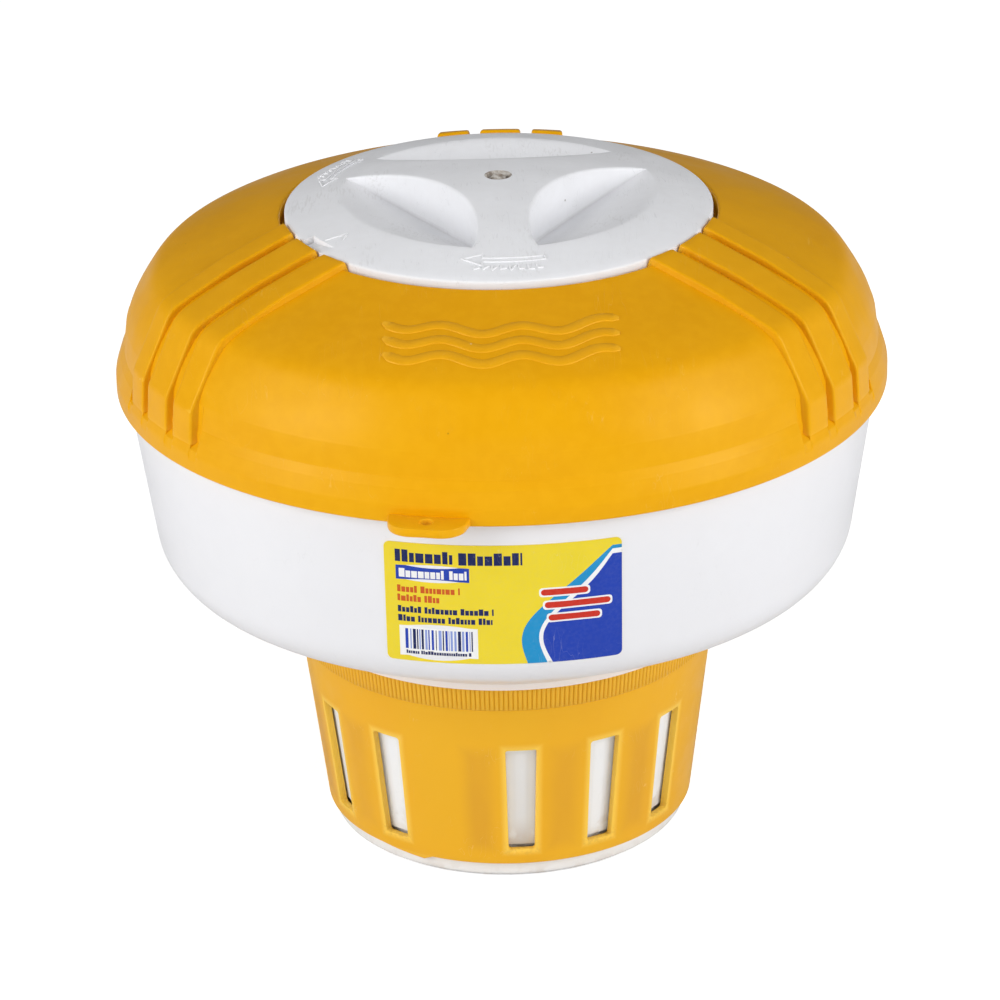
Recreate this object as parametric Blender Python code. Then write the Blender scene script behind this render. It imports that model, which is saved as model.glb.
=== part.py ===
"""Floating chlorine dispenser for a swimming pool.

A ring-shaped float (yellow cover over a white bowl) is sealed around a central
tablet canister.  The canister hangs below the float, where a yellow sleeve
turns around it and closes or opens its water slots.  A bayonet lid closes the
top of the canister.

Units are metres and +Z is up.  The origin is the centre of the flat underside
of the base, and the front of the object faces -Y.
"""

import math

import bmesh
import bpy
from mathutils import Matrix, Vector

MM = 0.001

# ---------------------------------------------------------------- dimensions
SEGMENTS = 48                 # facets around every turned piece
WALL = 2.5                    # general wall thickness, mm
GAP = 0.3                     # gap between pieces that touch on the real object

LIP_Z = 156.0                 # height of the float's waist, the cover's lower edge
LIP_R = 125.0                 # largest radius of the float
LIP_TALL = 12.5               # height of the lip band
LIP_WALL = 3.0

OPENING_R = 70.2              # opening in the cover that the lid sits in
OPENING_Z = LIP_Z + 55.6
SEAT_Z = LIP_Z + 50.0         # top face of the bayonet ledge, the gasket's seat
LEDGE_R = 61.2                # inner radius of the bayonet ledge
LEDGE_TALL = 6.0
THROAT_R = 65.3               # throat below the ledge
COLLAR_R = 68.0               # outside of the throat collar
COLLAR_Z = LIP_Z + 34.0       # lower end of the throat collar
STOP_SPAN = 3.0               # degrees covered by a stop that ends the lid's turn
STOP_DEEP = 2.6

RIB_GROUPS = (-60.8, 59.2, 179.2)   # azimuths of the three rib groups
MIDDLE_RIB_WIDTH = 13.2
OUTER_RIB_WIDTH = 10.2
RIB_GROOVE = 4.0              # between the ribs of a group
# radius and rise above the lip plane, from the opening down to the lip
RIB_CREST = ((69.6, 58.0), (84.0, 53.6), (97.0, 48.9), (107.0, 44.4), (111.2, 42.0), (114.5, 37.9),
             (117.5, 32.6), (120.5, 26.5), (123.3, 20.0), (124.3, 16.0), (124.6, 9.0))
RIB_ROOT = ((69.6, 53.4), (82.9, 49.1), (95.8, 44.5), (105.6, 40.5), (108.9, 38.9), (111.5, 35.8),
            (114.5, 31.0), (117.4, 25.1), (120.1, 18.8), (121.3, 15.5), (123.3, 8.8))

TAB_AZIMUTH = -10.3           # tether tab on the lip
TAB_R = 135.0
TAB_HALF_WIDTH = 11.7
TAB_THICK = 3.0
TAB_CORNER = 6.0
TETHER_HOLE_R = 2.0
TETHER_HOLE_AT = 128.8

BOWL_R = 121.5                # outside of the bowl's wall at the lip plane
BOWL_LOW_R = 114.1            # and where the wall meets the rounded corner
BOWL_WALL_TALL = 47.0
BOWL_EDGE_Z = LIP_Z + 9.5
NECK_R = 71.4                 # neck of the bowl, where the canister leaves it
NECK_Z = 74.8

TUBE_R = 67.5                 # canister inside the float
FLANGE_R = 74.0               # flange that rests on the bowl's neck
FLANGE_Z = (82.5, 84.8)
CANISTER_WALL = 2.4
CANISTER_FOOT_Z = 2.8
SLEEVE_TOP_Z = 74.2
SLEEVE_BOTTOM_Z = 6.6
SLEEVE_TOP_R = 69.3
SLEEVE_BOTTOM_R = 61.0
KNURL_TALL = 8.0
KNURL_STEP = 0.8
SLEEVE_GAP = 0.6              # running gap between the sleeve and the canister
SLEEVE_FOOT_R = 57.7          # inside of the sleeve's foot, around the base cap
STOP_SKIRT_SPAN = (-155.0, -25.0)   # azimuths where the sleeve's foot is longer
STOP_SKIRT_R = 59.7
STOP_SKIRT_DROP = 2.6

WINDOW_FIRST = 3.3            # azimuth of the first window of the front group
WINDOW_PITCH = 24.7           # degrees between the windows of a group
WINDOW_AZIMUTHS = [group * 90.0 + WINDOW_FIRST + step * WINDOW_PITCH
                   for group in range(4) for step in range(3)]
SLOT_SHIFT = -WINDOW_PITCH / 2      # the canister's slots lie between the sleeve's windows
WINDOW_TOP = 10.3
WINDOW_BOTTOM = 8.7
WINDOW_Z = (12.0, 50.5)

BASE_R = 59.2
BASE_TALL = 6.2
BASE_WALL = 1.9
BASE_FLOOR = 2.5

LID_R = 68.7
LID_RIM_Z = LIP_Z + 52.6      # underside of the lid's rim
LID_EDGE_Z = LIP_Z + 57.3     # where the lid's side turns into its top
LID_CROWN_Z = LIP_Z + 67.2    # top of the lid at its centre
LID_AZIMUTH = 2.0             # how far the lid is turned from the cover's axis
SKIRT_R = 60.5
SKIRT_WALL = 2.6
SKIRT_Z = LIP_Z + 38.0
LUG_R = 63.7
LUG_SPAN = 28.0
LUG_NOTCH_SPAN = 37.0
LOCK_TURN = 32.0              # clockwise turn that locks the lid
SCOOP_DEEP = 15.5             # height of a finger scoop's wall at its middle
SCOOP_WALL_AT = 71.7          # distance of the wall's arc centre from the axis
SCOOP_WALL_R = 53.8
SCOOP_OUTER_R = 51.2          # the floor comes up to the lid's top at this radius

LABEL_SPAN = (-17.0, 17.0)
LABEL_Z = (LIP_Z - 50.5, LIP_Z - 8.6)
LABEL_THICK = 0.3

# colour, roughness
YELLOW = ((0.93, 0.62, 0.05), 0.42)
SLEEVE_YELLOW = ((0.95, 0.66, 0.10), 0.48)
WHITE = ((0.88, 0.88, 0.90), 0.40)
LID_WHITE = ((0.80, 0.81, 0.83), 0.45)
RUBBER = ((0.05, 0.05, 0.055), 0.75)
SILICONE = ((0.72, 0.72, 0.70), 0.60)
LABEL_PRINT = ((0.95, 0.85, 0.20), 0.35)


# ------------------------------------------------------------------- helpers
def clear_scene():
    for thing in list(bpy.data.objects):
        bpy.data.objects.remove(thing, do_unlink=True)


def material(name, look):
    colour, roughness = look
    made = bpy.data.materials.new(name)
    made.use_nodes = True
    shader = made.node_tree.nodes["Principled BSDF"]
    shader.inputs["Base Color"].default_value = (*colour, 1.0)
    shader.inputs["Roughness"].default_value = roughness
    return made


def at(azimuth, radius, height):
    """A point at an azimuth counted from the front, positive towards +X."""
    angle = math.radians(azimuth - 90.0)
    return Vector((radius * math.cos(angle), radius * math.sin(angle), height)) * MM


def add_object(name, mesh, look=None):
    made = bpy.data.objects.new(name, mesh)
    bpy.context.scene.collection.objects.link(made)
    if look:
        mesh.materials.append(material(name + "_material", look))
    return made


def finish_mesh(bm, name, smooth):
    bmesh.ops.remove_doubles(bm, verts=bm.verts, dist=0.00001)
    bmesh.ops.recalc_face_normals(bm, faces=bm.faces)
    for face in bm.faces:
        face.smooth = smooth
    mesh = bpy.data.meshes.new(name)
    bm.to_mesh(mesh)
    bm.free()
    return mesh


def turned(name, outline, look=None, segments=SEGMENTS):
    """Spin a closed (radius, height) outline, in millimetres, about the Z axis."""
    bm = bmesh.new()
    loop = [bm.verts.new((radius * MM, 0.0, height * MM)) for radius, height in outline]
    edges = [bm.edges.new((loop[i], loop[(i + 1) % len(loop)])) for i in range(len(loop))]
    bmesh.ops.spin(bm, geom=loop + edges, cent=(0, 0, 0), axis=(0, 0, 1),
                   angle=math.tau, steps=segments, use_merge=True)
    return add_object(name, finish_mesh(bm, name, True), look)


def add_loft(bm, loops):
    """Join closed loops of equal length into one capped solid."""
    rings = [[bm.verts.new(point) for point in loop] for loop in loops]
    count = len(rings[0])
    for near, far in zip(rings, rings[1:]):
        for i in range(count):
            j = (i + 1) % count
            bm.faces.new((near[i], near[j], far[j], far[i]))
    bm.faces.new(rings[0][::-1])
    bm.faces.new(rings[-1])


def lofts(name, solids, look=None):
    bm = bmesh.new()
    for loops in solids:
        add_loft(bm, loops)
    return add_object(name, finish_mesh(bm, name, False), look)


def carve(target, tool, operation):
    """Apply a Boolean with a hidden tool object."""
    tool.hide_render = True
    tool.display_type = "WIRE"
    cut = target.modifiers.new(tool.name, "BOOLEAN")
    cut.operation = operation
    cut.object = tool
    cut.solver = "EXACT"


def arc_block(azimuth, span, radii, heights, steps=4):
    """Loops of a block that follows an arc, for lofts()."""
    loops = []
    for i in range(steps + 1):
        turn = azimuth - span / 2 + span * i / steps
        loops.append([at(turn, radii[0], heights[0]), at(turn, radii[1], heights[0]),
                      at(turn, radii[1], heights[1]), at(turn, radii[0], heights[1])])
    return loops


def shifted(outline, inward):
    """Move an open (radius, height) outline inward along its own normals."""
    moved = []
    for i, (radius, height) in enumerate(outline):
        before = outline[max(i - 1, 0)]
        after = outline[min(i + 1, len(outline) - 1)]
        along = Vector((after[0] - before[0], after[1] - before[1])).normalized()
        moved.append((radius + along.y * inward, height - along.x * inward))
    return moved


# --------------------------------------------------------------- float shells
DOME = [(OPENING_R, OPENING_Z)] + [(radius, LIP_Z + rise) for radius, rise in (
    (84.0, 50.8), (97.4, 46.0), (106.4, 42.0), (111.2, 38.7), (115.2, 33.2),
    (118.7, 27.1), (121.0, 21.3), (122.2, 15.8))]


def make_top_cover():
    """Yellow cover: dome, lip band, throat collar, bayonet ledge, ribs and tether tab."""
    lip_top = LIP_Z + LIP_TALL
    outside = DOME + [(LIP_R - 0.8, lip_top + 1.6), (LIP_R, lip_top - 0.4), (LIP_R, LIP_Z)]
    inside = shifted(DOME[1:-1], WALL)[::-1]
    step_z = lip_top - 0.1
    outline = outside + [
        (LIP_R - LIP_WALL, LIP_Z), (LIP_R - LIP_WALL, step_z), (119.3, step_z)] + inside + [
        (OPENING_R + WALL, OPENING_Z - 3.4), (OPENING_R + WALL, SEAT_Z - WALL),
        (COLLAR_R, SEAT_Z - WALL), (COLLAR_R, COLLAR_Z), (THROAT_R, COLLAR_Z),
        (THROAT_R, SEAT_Z - LEDGE_TALL), (LEDGE_R, SEAT_Z - LEDGE_TALL),
        (LEDGE_R, SEAT_Z), (OPENING_R, SEAT_Z)]
    cover = turned("top_cover", outline, YELLOW)
    carve(cover, make_rib_tools(), "UNION")
    carve(cover, make_tab_tool(), "UNION")
    carve(cover, make_stop_tool(), "UNION")
    carve(cover, make_notch_tool(), "DIFFERENCE")
    carve(cover, make_hole_tool(), "DIFFERENCE")
    return cover


def make_rib_tools():
    """Nine straight ribs in three groups; their roots are buried in the dome's wall."""
    inner = MIDDLE_RIB_WIDTH / 2
    outer = inner + RIB_GROOVE + OUTER_RIB_WIDTH
    solids = []
    for group in RIB_GROUPS:
        turn = Matrix.Rotation(math.radians(group), 3, "Z")
        for low, high in ((-outer, -inner - RIB_GROOVE), (-inner, inner),
                          (inner + RIB_GROOVE, outer)):
            solids.append([rib_section(turn, crest, root, low, high)
                           for crest, root in zip(RIB_CREST, RIB_ROOT)])
    return lofts("rib_tool", solids)


def rib_section(turn, crest, root, low, high):
    """Cross-section of a rib: two crest points between two root points."""
    loop = []
    for side, (radius, rise) in ((low, root), (low, crest), (high, crest), (high, root)):
        out = math.sqrt(radius ** 2 - side ** 2)
        loop.append(turn @ (Vector((side, -out, LIP_Z + rise)) * MM))
    return loop


def make_tab_tool():
    """Rounded tab with a hole for the tether cord."""
    inner = LIP_R - LIP_WALL * 0.8
    outline = []
    for side in (1, -1):
        for i in range(5):
            sweep = math.radians(22.5 * i) if side > 0 else math.radians(90.0 - 22.5 * i)
            outline.append((side * (TAB_HALF_WIDTH - TAB_CORNER * (1.0 - math.cos(sweep))),
                            TAB_R - TAB_CORNER * (1.0 - math.sin(sweep))))
    outline += [(-TAB_HALF_WIDTH, inner), (TAB_HALF_WIDTH, inner)]
    turn = Matrix.Rotation(math.radians(TAB_AZIMUTH), 3, "Z")
    loops = [[turn @ (Vector((x, -out, height)) * MM) for x, out in outline]
             for height in (LIP_Z, LIP_Z + TAB_THICK)]
    return lofts("tab_tool", [loops])


def make_hole_tool():
    bm = bmesh.new()
    place = Matrix.Translation(at(TAB_AZIMUTH, TETHER_HOLE_AT, LIP_Z))
    bmesh.ops.create_cone(bm, cap_ends=True, segments=20, radius1=TETHER_HOLE_R * MM,
                          radius2=TETHER_HOLE_R * MM, depth=TAB_THICK * 4 * MM, matrix=place)
    return add_object("tether_hole_tool", finish_mesh(bm, "tether_hole_tool", False))


def make_notch_tool():
    """Three gaps in the bayonet ledge that the lid's lugs drop through."""
    radii = (LEDGE_R - 2.0, THROAT_R - 0.4)
    heights = (SEAT_Z - LEDGE_TALL - 1.0, SEAT_Z + 1.0)
    solids = [arc_block(LID_AZIMUTH + third * 120.0, LUG_NOTCH_SPAN, radii, heights)
              for third in range(3)]
    return lofts("ledge_notch_tool", solids)


def make_stop_tool():
    """Three stops below the ledge that end the lid's locking turn."""
    behind = LUG_SPAN / 2 + LOCK_TURN + STOP_SPAN
    radii = (THROAT_R - STOP_DEEP, THROAT_R + 1.0)
    heights = (COLLAR_Z + 2.0, SEAT_Z - LEDGE_TALL + 1.0)
    solids = [arc_block(LID_AZIMUTH + third * 120.0 - behind, STOP_SPAN, radii, heights, 1)
              for third in range(3)]
    return lofts("lug_stop_tool", solids)


BOWL_SIDE = [(BOWL_R, BOWL_EDGE_Z), (BOWL_R, LIP_Z)] + [(radius, LIP_Z + rise) for radius, rise in (
    (BOWL_LOW_R, -BOWL_WALL_TALL), (112.9, -51.0), (110.6, -55.6), (107.6, -59.4),
    (103.8, -62.4), (88.0, -70.4), (NECK_R + 0.4, -79.0))]


def make_lower_shell():
    """White bowl: conical wall, rounded corner, sloping floor and a short neck."""
    bore = TUBE_R + 0.8
    rim = BOWL_R - WALL
    inside = shifted(BOWL_SIDE[1:-1], WALL)[::-1]
    outline = BOWL_SIDE + [(NECK_R, NECK_Z), (bore, NECK_Z), (bore, NECK_Z + 4.4),
                           (73.0, NECK_Z + 5.0)] + inside + [(rim, LIP_Z + 1.0), (rim, BOWL_EDGE_Z)]
    return turned("lower_shell", outline, WHITE)


def ring(name, radii, heights, look):
    """A seal with a rounded, six-sided section."""
    middle_r = (radii[0] + radii[1]) / 2
    middle_z = (heights[0] + heights[1]) / 2
    half_r = (radii[1] - radii[0]) / 2
    half_z = (heights[1] - heights[0]) / 2
    flat = 0.6
    outline = [(middle_r + wide * half_r, middle_z + tall * half_z)
               for wide, tall in ((-1, 0), (-flat, 1), (flat, 1), (1, 0), (flat, -1), (-flat, -1))]
    return turned(name, outline, look)


def make_seals():
    """Seals that keep the float's air chamber dry."""
    ring("rim_seal", (119.4, 121.7), (BOWL_EDGE_Z + GAP, LIP_Z + LIP_TALL - 0.1 - GAP), RUBBER)
    ring("throat_seal", (THROAT_R + 0.1, COLLAR_R), (COLLAR_Z - 3.0, COLLAR_Z - GAP), RUBBER)
    ring("neck_seal", (TUBE_R + GAP, TUBE_R + 3.4), (NECK_Z + 4.9, NECK_Z + 7.3), RUBBER)


# ------------------------------------------------------- canister and sleeve
def sleeve_radius(height):
    share = (height - SLEEVE_BOTTOM_Z) / (SLEEVE_TOP_Z - SLEEVE_BOTTOM_Z)
    return SLEEVE_BOTTOM_R + (SLEEVE_TOP_R - SLEEVE_BOTTOM_R) * share


def canister_radius(height):
    return sleeve_radius(height) - WALL - SLEEVE_GAP


def make_canister():
    """White tube for the tablets: socket, flange, straight tube and slotted cone."""
    socket_top = COLLAR_Z + 6.0
    seat = COLLAR_Z - 3.4
    cone_low = WINDOW_Z[0] + 0.6
    top_r = canister_radius(SLEEVE_TOP_Z)
    low_r = canister_radius(cone_low)
    foot_r = BASE_R - BASE_WALL - GAP
    wall = CANISTER_WALL
    outline = [
        (COLLAR_R + 3.0, socket_top), (COLLAR_R + 3.0, seat - 2.5), (TUBE_R, seat - 4.5),
        (TUBE_R, FLANGE_Z[1]), (FLANGE_R, FLANGE_Z[1]), (FLANGE_R, FLANGE_Z[0]),
        (TUBE_R, FLANGE_Z[0]),
        (TUBE_R, SLEEVE_TOP_Z + 0.5), (top_r, SLEEVE_TOP_Z + 0.5), (low_r, cone_low),
        (foot_r, cone_low - 1.0), (foot_r, CANISTER_FOOT_Z), (foot_r - wall, CANISTER_FOOT_Z),
        (foot_r - wall, cone_low - 0.4), (low_r - wall, cone_low + 0.6),
        (top_r - wall, SLEEVE_TOP_Z + 0.5), (TUBE_R - WALL, SLEEVE_TOP_Z + 3.5),
        (TUBE_R - WALL, seat), (COLLAR_R + GAP, seat), (COLLAR_R + GAP, socket_top)]
    canister = turned("tablet_canister", outline, WHITE)
    carve(canister, port_tool("canister_slot_tool", SLOT_SHIFT, 1.2), "DIFFERENCE")
    return canister


def port_tool(name, shift, shorter):
    """Twelve tapered radial cutters, for the sleeve's windows or the canister's slots."""
    low, high = WINDOW_Z[0] + shorter, WINDOW_Z[1] - shorter
    solids = []
    for azimuth in WINDOW_AZIMUTHS:
        turn = Matrix.Rotation(math.radians(azimuth + shift), 3, "Z")
        loops = []
        for height, width in ((low, WINDOW_BOTTOM), (high, WINDOW_TOP)):
            half = width / 2
            corners = ((-half, -50.0), (half, -50.0), (half, -75.0), (-half, -75.0))
            loops.append([turn @ (Vector((x, y, height)) * MM) for x, y in corners])
        solids.append(loops)
    return lofts(name, solids)


def make_base_cap():
    """White cup that closes the canister's foot and carries the sleeve."""
    inner = BASE_R - BASE_WALL
    outline = [(BASE_R, BASE_TALL), (BASE_R, 3.6), (BASE_R - 1.0, 1.1), (BASE_R - 3.4, 0.0),
               (0.0, 0.0), (0.0, BASE_FLOOR), (inner, BASE_FLOOR), (inner, BASE_TALL)]
    return turned("base_cap", outline, WHITE)


def make_sleeve():
    """Yellow sleeve with twelve windows, a knurled band and a stop skirt."""
    band_low = SLEEVE_TOP_Z - KNURL_TALL
    inner_top = sleeve_radius(SLEEVE_TOP_Z) - WALL
    lip_z = SLEEVE_BOTTOM_Z + 3.0
    outline = [
        (sleeve_radius(SLEEVE_TOP_Z) + KNURL_STEP, SLEEVE_TOP_Z),
        (sleeve_radius(band_low) + KNURL_STEP, band_low), (sleeve_radius(band_low), band_low - 0.4),
        (SLEEVE_BOTTOM_R, SLEEVE_BOTTOM_Z), (SLEEVE_FOOT_R, SLEEVE_BOTTOM_Z),
        (SLEEVE_FOOT_R, lip_z),
        (sleeve_radius(lip_z + 1.0) - WALL, lip_z + 1.0), (inner_top, SLEEVE_TOP_Z)]
    sleeve = turned("regulator_sleeve", outline, SLEEVE_YELLOW)
    start, end = STOP_SKIRT_SPAN
    skirt = arc_block((start + end) / 2, end - start, (STOP_SKIRT_R, SLEEVE_BOTTOM_R - 0.05),
                      (SLEEVE_BOTTOM_Z - STOP_SKIRT_DROP, SLEEVE_BOTTOM_Z + 0.6), 20)
    carve(sleeve, lofts("stop_skirt_tool", [skirt]), "UNION")
    carve(sleeve, port_tool("sleeve_window_tool", 0.0, 0.0), "DIFFERENCE")
    return sleeve


# ------------------------------------------------------------------------ lid
def lid_top(radius):
    """Height of the lid's domed top at a radius."""
    share = min(radius / LID_R, 1.0)
    return LID_CROWN_Z - (LID_CROWN_Z - LID_EDGE_Z) * share ** 2


def make_lid():
    """White lid: domed top with three finger scoops, a skirt and three bayonet lugs."""
    rim = LID_R - 1.6
    steps = (0.0, 14.0, 28.0, 42.0, 55.0)
    top = [(radius, lid_top(radius)) for radius in steps]
    under = [(radius, lid_top(radius) - WALL) for radius in steps]
    inner = SKIRT_R - SKIRT_WALL
    outline = top + [(rim, lid_top(rim)), (LID_R, LID_EDGE_Z - 1.4), (LID_R, LID_RIM_Z),
                     (SKIRT_R, LID_RIM_Z), (SKIRT_R, SKIRT_Z), (inner, SKIRT_Z),
                     (inner, lid_top(inner) - WALL)] + under[::-1]
    lid = turned("twist_lid", outline, LID_WHITE)
    lugs = [arc_block(LID_AZIMUTH + third * 120.0, LUG_SPAN, (SKIRT_R - 0.9, LUG_R),
                      (SKIRT_Z + 0.6, SKIRT_Z + 4.4)) for third in range(3)]
    carve(lid, lofts("lid_lug_tool", lugs), "UNION")
    carve(lid, scoop_tool("scoop_pan_tool", WALL, True), "UNION")
    carve(lid, scoop_tool("scoop_cut_tool", 0.0, False), "DIFFERENCE")
    return lid


def scoop_tool(name, margin, is_pan):
    """Three lens shapes in plan: a round steep wall inside, a floor rising outwards."""
    wall_r = SCOOP_WALL_R + margin
    outer_r = SCOOP_OUTER_R + margin
    reach = (SCOOP_WALL_AT ** 2 + outer_r ** 2 - wall_r ** 2) / (2 * SCOOP_WALL_AT)
    half_wide = math.sqrt(outer_r ** 2 - reach ** 2) * 0.985
    solids = []
    for third in range(3):
        turn = Matrix.Rotation(math.radians(LID_AZIMUTH + third * 120.0 + 180.0), 3, "Z")
        loops = []
        for i in range(15):
            side = half_wide * math.sin(math.pi * (i / 14 - 0.5))
            inner = SCOOP_WALL_AT - math.sqrt(wall_r ** 2 - side ** 2)
            outer = math.sqrt(outer_r ** 2 - side ** 2)
            deep = SCOOP_DEEP * (reach - inner) / (reach - SCOOP_WALL_AT + wall_r)
            loops.append(scoop_section(turn, side, (inner, outer), deep, margin, is_pan))
        solids.append(loops)
    return lofts(name, solids)


def scoop_section(turn, side, span, deep, margin, is_pan):
    """One slice of a scoop: floor points from the wall outwards, then top points back."""
    low, high = [], []
    for step in range(4):
        out = span[0] + (span[1] - span[0]) * step / 3
        top = lid_top(math.hypot(side, out))
        floor = top - 0.4 - deep * (1 - step / 3) - margin * 0.9
        ceiling = top - 1.3 if is_pan else LID_CROWN_Z + 8.0
        low.append(turn @ (Vector((side, -out, min(floor, ceiling - 0.4))) * MM))
        high.append(turn @ (Vector((side, -out, ceiling)) * MM))
    return low + high[::-1]


# ---------------------------------------------------------------------- label
def facet_radius(radius, azimuth):
    """Radius of a faceted turned piece at any azimuth."""
    half = 180.0 / SEGMENTS
    past = azimuth % (2 * half) - half
    return radius * math.cos(math.radians(half)) / math.cos(math.radians(past))


def make_label():
    """Printed label on the front of the bowl."""
    low_z, high_z = LABEL_Z
    slope = (BOWL_R - BOWL_LOW_R) / BOWL_WALL_TALL
    facet = 360.0 / SEGMENTS
    turns = [LABEL_SPAN[0]] + [facet * i for i in range(-2, 3)] + [LABEL_SPAN[1]]
    loops = []
    for turn in turns:
        loop = []
        for height, off in ((low_z, GAP), (low_z, GAP + LABEL_THICK),
                            (high_z, GAP + LABEL_THICK), (high_z, GAP)):
            wall = BOWL_R - slope * (LIP_Z - height)
            loop.append(at(turn, facet_radius(wall + off, turn), height))
        loops.append(loop)
    return lofts("front_label", [loops], LABEL_PRINT)


def build():
    clear_scene()
    make_top_cover()
    make_lower_shell()
    make_seals()
    make_canister()
    make_base_cap()
    make_sleeve()
    ring("lid_gasket", (SKIRT_R + 0.4, LID_R - 1.4), (SEAT_Z + GAP, LID_RIM_Z - GAP), SILICONE)
    make_lid()
    make_label()


build()
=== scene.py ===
"""Looks of the floating chlorine dispenser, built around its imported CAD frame.

Lengths are in millimetres until a mesh is made.  Azimuth 0 faces the camera (-Y)
and grows towards +X.  A rise is a height above the lip plane, the waist of the float.
"""

import math
import random

import bmesh
import bpy
from mathutils import Matrix, Vector, noise
from mathutils.geometry import delaunay_2d_cdt


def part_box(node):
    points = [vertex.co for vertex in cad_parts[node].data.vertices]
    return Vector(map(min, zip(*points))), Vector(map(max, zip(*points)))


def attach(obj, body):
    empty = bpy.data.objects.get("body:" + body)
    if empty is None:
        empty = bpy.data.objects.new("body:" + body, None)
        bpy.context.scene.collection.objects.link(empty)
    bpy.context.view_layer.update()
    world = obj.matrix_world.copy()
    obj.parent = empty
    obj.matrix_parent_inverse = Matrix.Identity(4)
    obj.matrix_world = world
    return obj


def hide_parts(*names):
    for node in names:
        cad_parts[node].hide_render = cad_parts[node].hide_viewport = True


MM = 0.001
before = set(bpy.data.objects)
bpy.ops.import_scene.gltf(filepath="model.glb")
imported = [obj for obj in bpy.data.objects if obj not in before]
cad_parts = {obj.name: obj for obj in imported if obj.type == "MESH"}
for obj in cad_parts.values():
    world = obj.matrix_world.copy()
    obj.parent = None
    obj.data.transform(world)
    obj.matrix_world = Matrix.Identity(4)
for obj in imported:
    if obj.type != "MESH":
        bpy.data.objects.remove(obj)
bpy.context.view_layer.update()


# ------------------------------------------------------------ sizes, from the frame
def node_box(name):
    low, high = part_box(name)
    return low / MM, high / MM


cover_low, cover_high = node_box("top_cover")
bowl_low, bowl_high = node_box("lower_shell")
canister_low, canister_high = node_box("tablet_canister")
sleeve_high = node_box("regulator_sleeve")[1]
base_high = node_box("base_cap")[1]
lid_low, lid_high = node_box("twist_lid")
gasket_low, gasket_high = node_box("lid_gasket")

# Tuples of corners hold a radius, a rise and, where the corner is rounded, a fillet.
LIP_Z = cover_low.z
LIP_R = cover_high.x
LIP_TALL = 12.5
LIP_EDGE = ((121.9, LIP_TALL + 1.4, 0.4), (123.3, LIP_TALL - 1.6, 2.5), (LIP_R, 5.6, 6.0))
GROOVE_RISE = 9.4            # the lip's lower edge between and beside the ribs
GROOVE_EDGE = ((122.0, GROOVE_RISE, 0.5), (124.3, GROOVE_RISE - 2.2, 0.9), (LIP_R, 4.0, 3.0))
GROOVE_BESIDE = 3.0
WALL = 2.5
OPENING_R = 70.2
OPENING_RISE = 55.6
SEAT_RISE = 50.0
THROAT_R = 65.3
COLLAR_R = 68.0
COLLAR_RISE = 34.0

# the dome, from the lid's opening to the crease of the steep band
DOME = ((OPENING_R, OPENING_RISE), (84.0, 50.8), (97.4, 46.0), (106.4, 42.0), (111.2, 38.7),
        (115.2, 33.2), (118.7, 27.1), (120.9, 21.5))
# the ribs' crest: two straight slopes and a short upright foot
RIB_CREST = ((69.6, 58.0), (90.5, 51.0, 60.0), (112.9, 41.0, 10.0), (123.7, 19.6, 6.0),
             (124.4, 8.8))
RIB_GROUPS = (-60.8, 59.2, 179.2)
RIB_EDGES = ((-20.8, -10.6), (-6.6, 6.6), (10.6, 20.8))    # sideways from the group's middle
RIB_DEEP = 3.9
RIB_ROUND = 0.9

LEDGE_R = 61.2
LEDGE_SPAN = (18.5, 101.5)   # degrees from the middle of the gap before a ledge
LEDGE_THICK = 6.0
STOP_SPAN = (-50.5, -47.5)
STOP_DROPS = (14.0, 5.5)     # below the seat

TAB_AZIMUTH = -10.6
TAB_R = 134.5
TAB_HALF_WIDTH = 11.6
TAB_FILLET = 7.6
TAB_THICK = 3.0
TAB_EDGE = 0.7
TETHER_HOLE_R = 2.0
TETHER_HOLE_AT = 128.8

EMBLEM_R = 94.8
EMBLEM_PITCH = 6.2
EMBLEM_HALF = 36
WAVE_LONG = 24.0
WAVE_SWING = 1.7

BOWL_R = bowl_high.x
BOWL_RIM = 9.5               # rise of the bowl's rim, inside the lip
NECK_R = 71.4
NECK_WALL = 3.1
BOWL_OUTSIDE = ((BOWL_R, BOWL_RIM), (BOWL_R, 0.0), (113.1, -57.6, 17.0), (88.0, -70.4),
                (NECK_R + 0.5, -78.8, 0.8))
BOWL_INSIDE = ((88.4, -67.6), (110.9, -55.8, 14.5), (119.0, 1.0), (119.0, BOWL_RIM))

SLEEVE_TOP_Z = sleeve_high.z
SLEEVE_FOOT_Z = 6.6
SLEEVE_TOP_R = 69.3
SLEEVE_FOOT_R = 61.0
SLEEVE_FOOT_IN_R = 57.7
KNURL_TALL = 8.0
KNURL_DEEP = 0.45
FLUTES = 288
SKIRT_STOPS = (-155.0, -25.0)
SKIRT_STOP_R = 59.75
STOP_DROP = 1.3
STOP_STEP = 3.0              # degrees over which the stop's end comes down
STOP_RAMP = 16.0             # degrees over which it runs out again

WINDOW_GROUP = 90.0
WINDOW_PITCH = 24.7
WINDOW_AZIMUTHS = [WINDOW_GROUP * group + 3.3 + WINDOW_PITCH * step
                   for group in range(4) for step in range(3)]
WINDOW_Z = (12.0, 50.5)
WINDOW_WIDTH = (8.7, 10.3)   # at the foot and at the top
WINDOW_CORNER = 0.9
CORNER_STEPS = 8             # mesh steps around a window's corner
SIDE_STEPS = (10, 24)        # and along its width and its height
SLOT_SHIFT = -12.35          # degrees from the sleeve's windows to the canister's slots
SLOT_SHRINK = 1.2

CANISTER_WALL = 2.4
CANISTER_GAP = 0.6           # between the sleeve and the canister inside it
CANISTER_TUBE_R = 67.5
FLANGE_R = 74.0
FLANGE_Z = (82.5, 84.8)
BASE_R = base_high.x
BASE_WALL = 1.9
BASE_FLOOR = 2.5
BASE_HOLLOW_R = 54.8
BASE_HOLLOW = 1.0
GASKET_IN_R = 60.9

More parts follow.
